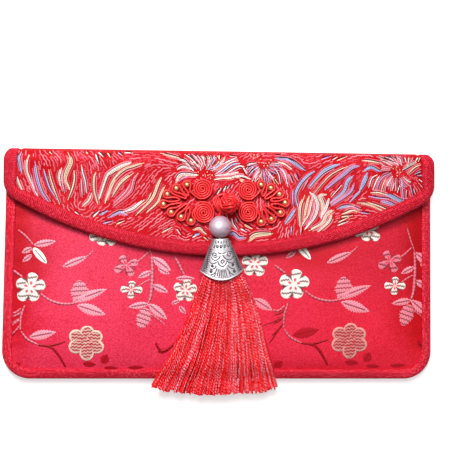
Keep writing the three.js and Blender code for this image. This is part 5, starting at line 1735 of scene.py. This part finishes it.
def capLines():
    lines = [curveThrough(line, 6) if len(line) > 2 else np.array(line, float) for line in cap["lines"]]
    for x, drop, radius, spin in cap["spirals"]:
        t = np.linspace(0, 1, 30)
        turn = spin * (t * 2 * math.pi * 1.45 + 0.6)
        lines.append(polar(x, drop, radius * (1 - 0.82 * t), turn))
    for x, drop, radius in cap["rings"]:
        lines.append(polar(x, drop, radius, np.linspace(0, 2 * math.pi, 25)))
    for x, drop in cap["drops"]:
        lines.append(np.array([(x + dx, drop + dy) for dx, dy in cap["dropShape"]]))
    for x, drop in cap["nicks"]:
        lines.append(np.array([(x, drop - 0.4), (x * 1.06, drop + 0.4)]))
    first, pitch, count = cap["feathers"]
    for k in range(count):
        drop = first + k * pitch
        half = lerp(cap["topHalf"], cap["baseHalf"], drop / cap["featherFoot"])
        for side in (-1, 1):
            lines.append(np.array([(side * half * share, drop + dy) for share, dy in cap["featherShape"]]))
    return lines


def lineGap(x, y, lines):  # distance from each place to the nearest relief line
    gap = np.full(x.shape, 9.0)
    for line in lines:
        low, high = line.min(0) - 0.6, line.max(0) + 0.6
        near = (x > low[0]) & (x < high[0]) & (y > low[1]) & (y < high[1])
        if not near.any():
            continue
        px, py = x[near], y[near]
        best = gap[near]
        for a, b in zip(line[:-1], line[1:]):
            run = b - a
            t = np.clip(((px - a[0]) * run[0] + (py - a[1]) * run[1]) / max(run @ run, 1e-9), 0, 1)
            best = np.minimum(best, np.hypot(px - a[0] - run[0] * t, py - a[1] - run[1] * t))
        gap[near] = best
    return gap


def silverFinish():
    finish, tree, shader = newFinish("stampedSilver", Metallic=0.75, Roughness=0.36)
    spot = objectSpot(tree)
    # groove holds the patina in the relief lines and inside, and painted shade on the cap's sides
    dark = attribute(tree, "groove")
    tarnish = grain(tree, spot, 260.0, 3.0)
    fine = grain(tree, spot, 1600.0, 2.0)
    bright = blend(tree, fine, tone(196, 190, 198), tone(234, 230, 234))
    tarnished = calc(tree, "MULTIPLY", ramp(tree, tarnish, 0.5, 0.85), 0.5)
    bright = blend(tree, tarnished, bright, tone(150, 140, 148))
    wire(tree, blend(tree, dark, bright, tone(30, 12, 26)), shader.inputs["Base Color"])
    rough = calc(tree, "MULTIPLY_ADD", fine, 0.12, 0.34)
    wire(tree, calc(tree, "MULTIPLY_ADD", dark, 0.3, rough), shader.inputs["Roughness"])
    bump(tree, shader, fine, 0.00004, 0.35)
    return finish


def capShell():
    sides = cap["sides"]
    turn = np.linspace(0, 2 * math.pi, sides, endpoint=False)
    lines = capLines()

    def ringAt(share, cut):
        half = lerp(cap["topHalf"], cap["baseHalf"], share) - cut
        deep = lerp(cap["topDeep"], cap["baseDeep"], share) - cut
        drop = share * (cap["side"] + cap["sag"] * np.sin(turn) ** 2)
        return np.stack([half * np.cos(turn), -drop, deep * np.sin(turn)], -1), half, deep
    rings, grooves = [], []
    flank = 0.6 * smooth(np.abs(np.cos(turn)), 0.55, 0.92)  # painted shade: the sides are left darker
    for share in np.linspace(1.0, 0.0, cap["rows"]):
        ring, half, deep = ringAt(share, 0.0)
        gap = lineGap(ring[:, 0], -ring[:, 1], lines)
        cutIn = 1 - smooth(gap, cap["lineHalf"] * 0.45, cap["lineHalf"] * 1.5)
        rim = smooth(share, *cap["rimStart"])
        place, reach = cap["belt"]
        cutIn = np.maximum(cutIn * (1 - rim), 0.6 * bell(share - place, reach))
        out = np.stack([np.cos(turn) / half, np.zeros(sides), np.sin(turn) / deep], -1)
        out /= np.linalg.norm(out, axis=1, keepdims=True)
        raised = cap["raised"] + cap["rimRaised"] * rim - cap["groove"] * cutIn
        raised = raised - cap["topRounding"] * smooth(0.02 - share, 0.0, 0.02)
        rings.append(ring + out * raised[:, None])
        grooves.append(np.maximum(cutIn, flank * (1 - rim)))
    rings.append(ringAt(0.0, cap["mouthCut"])[0])
    grooves.append(np.zeros(sides))
    for drop in cap["boreDrops"]:
        x, z = cap["bore"] * np.cos(turn), cap["bore"] * np.sin(turn)
        rings.append(np.stack([x, np.full(sides, -drop), z], -1))
        grooves.append(np.full(sides, 0.5))
    for share in np.linspace(0.07, 1.0, 12):
        rings.append(ringAt(share, cap["wall"])[0])
        grooves.append(np.full(sides, 0.4))
    points, faces, _ = tubeOf(np.array(rings), closed=True)
    piece = addPiece("silverCap", hangPlace(points), faces, silverFinish())
    layer = piece.data.attributes.new("groove", "FLOAT", "POINT")
    layer.data.foreach_set("value", np.array(grooves, np.float32).ravel())
    settle(piece, "silver", "tassel_cap")


capShell()
print("pearl and cap made")

# tassel skirt: rows of its two edges and half depth, and the cut ends from left to right
skirt = {
    "rows": [(5.5, -6.4, 5.4, 2.7), (0.6, -9.2, 9.0, 3.3), (-9.0, -12.1, 14.5, 3.1), (-20.0, -15.7, 17.8, 2.7),
             (-37.0, -23.3, 22.7, 2.1), (-52.0, -31.9, 27.3, 1.7), (-58.0, -35.0, 29.2, 1.6)],
    "tips": [(0.0, -52.4), (0.03, -52.6), (0.14, -54.2), (0.26, -54.9), (0.38, -55.6), (0.5, -55.8),
             (0.62, -55.4), (0.74, -55.0), (0.86, -54.8), (0.97, -52.9), (1.0, -52.6)],
    "strands": 300, "radius": 0.4, "margin": 0.25, "steps": 30, "top": 5.0, "lift": 0.66, "seed": 21,
    "levels": [1.0, 0.9, 0.78, 0.6, 0.35], "lowLevel": 0.1, "golden": 0.61803399,
    "droop": 0.1, "uneven": (-0.2, 1.5), "drift": 0.9, "fallSpan": (-30.0, -2.0), "capSpan": (-14.0, -1.0),
    "reds": [1.0, 1.0, 1.0, 1.0, 1.0, 0.88], "pales": [0.2, 0.35, 0.55, 0.8, 1.1],
}


def skirtFloor(x, y):  # top of the cloth and tape that the skirt lies on
    depth = edgeDistance(x, np.maximum(y, pouch["bottomY"]))
    bound = 1 - smooth(depth, pouch["tapeWidth"] + 0.6, pouch["tapeWidth"] + 9)
    past = np.maximum(0, pouch["bottomY"] - y)
    inside = np.maximum(y, pouch["bottomY"] + pouch["inset"] + 0.01)
    return frontTop(x, inside) + bound * pouch["inset"] - past * skirt["droop"]


def skirtLines():
    chance = random.Random(skirt["seed"])
    table = np.array(skirt["rows"])[::-1]
    tips = np.array(skirt["tips"])
    strands = []
    for k in range(skirt["strands"]):
        level = skirt["levels"][(k * 3) % 5] if k % 9 else skirt["lowLevel"]
        across = (k * skirt["golden"] + 0.31) % 1.0
        tip = float(np.interp(across, tips[:, 0], tips[:, 1])) + chance.uniform(*skirt["uneven"])
        y = np.linspace(skirt["top"], tip, skirt["steps"])
        fall = 1 - smooth(y, *skirt["fallSpan"])
        left, right, deep = (np.interp(y, table[:, 0], table[:, c]) for c in (1, 2, 3))
        phase = [chance.uniform(0, 2 * math.pi) for _ in range(3)]
        drift = chance.gauss(0, skirt["drift"]) * fall
        wobble = 0.08 * np.sin(y * 0.9 + phase[0]) + 0.05 * np.sin(y * 1.7 + phase[1])
        wobble = wobble + 0.3 * fall * np.sin(y * 0.17 + phase[2])
        margin = skirt["radius"] + skirt["margin"]
        x = lerp(left + margin, right - margin, across) + (wobble * smooth(-y, -2, 6) + drift)
        x = np.clip(x, left + margin * 0.6, right - margin * 0.6)
        place = np.clip((x - left) / (right - left), 0.0, 1.0)
        oval = np.sqrt(np.maximum(0.0, 1 - (place * 2 - 1) ** 2 * 0.94))
        inCap = smooth(y, *skirt["capSpan"])
        thick = deep * lerp(0.35 + 0.65 * oval, oval, inCap)
        lifted = level + 0.05 * np.sin(y * 0.8 + phase[1]) * fall
        rest = skirtFloor(x, y) + skirt["lift"] + 2 * thick * np.clip(lifted, 0, 1) * 0.9
        axis = hang["place"][2] - (hang["place"][1] - y) * hang["tilt"] + thick * (2 * level - 1) * 0.86
        red = chance.choice(skirt["reds"])
        # pale keeps the green and blue of the pink highlight; it falls with the level squared, so lower strands
        # get painted shade
        pale = red * red * chance.choice(skirt["pales"]) * level * level
        line = np.stack([x, y, lerp(rest, axis, inCap)], -1)
        strands.append((line, skirt["radius"], (red, pale, pale, 1.0)))
    return strands


# the lit tone, flecked along the twist, is a painted highlight standing in for gloss
silkStrand = cordFinish("silkStrand", tone(231, 0, 22), tone(255, 180, 198), lobes=2.0, twist=4300.0,
                        roughness=0.34, swing=0.7, fleck=3.4, shift=-0.32, ply=0.0002, gloss=0.0)
tasselPiece = layStrands("silkTassel", roundStrands, skirtLines(), 1.0, 5, silkStrand)
settle(tasselPiece, "silk", "tassel")
print("tassel made:", len(tasselPiece.data.polygons), "faces")
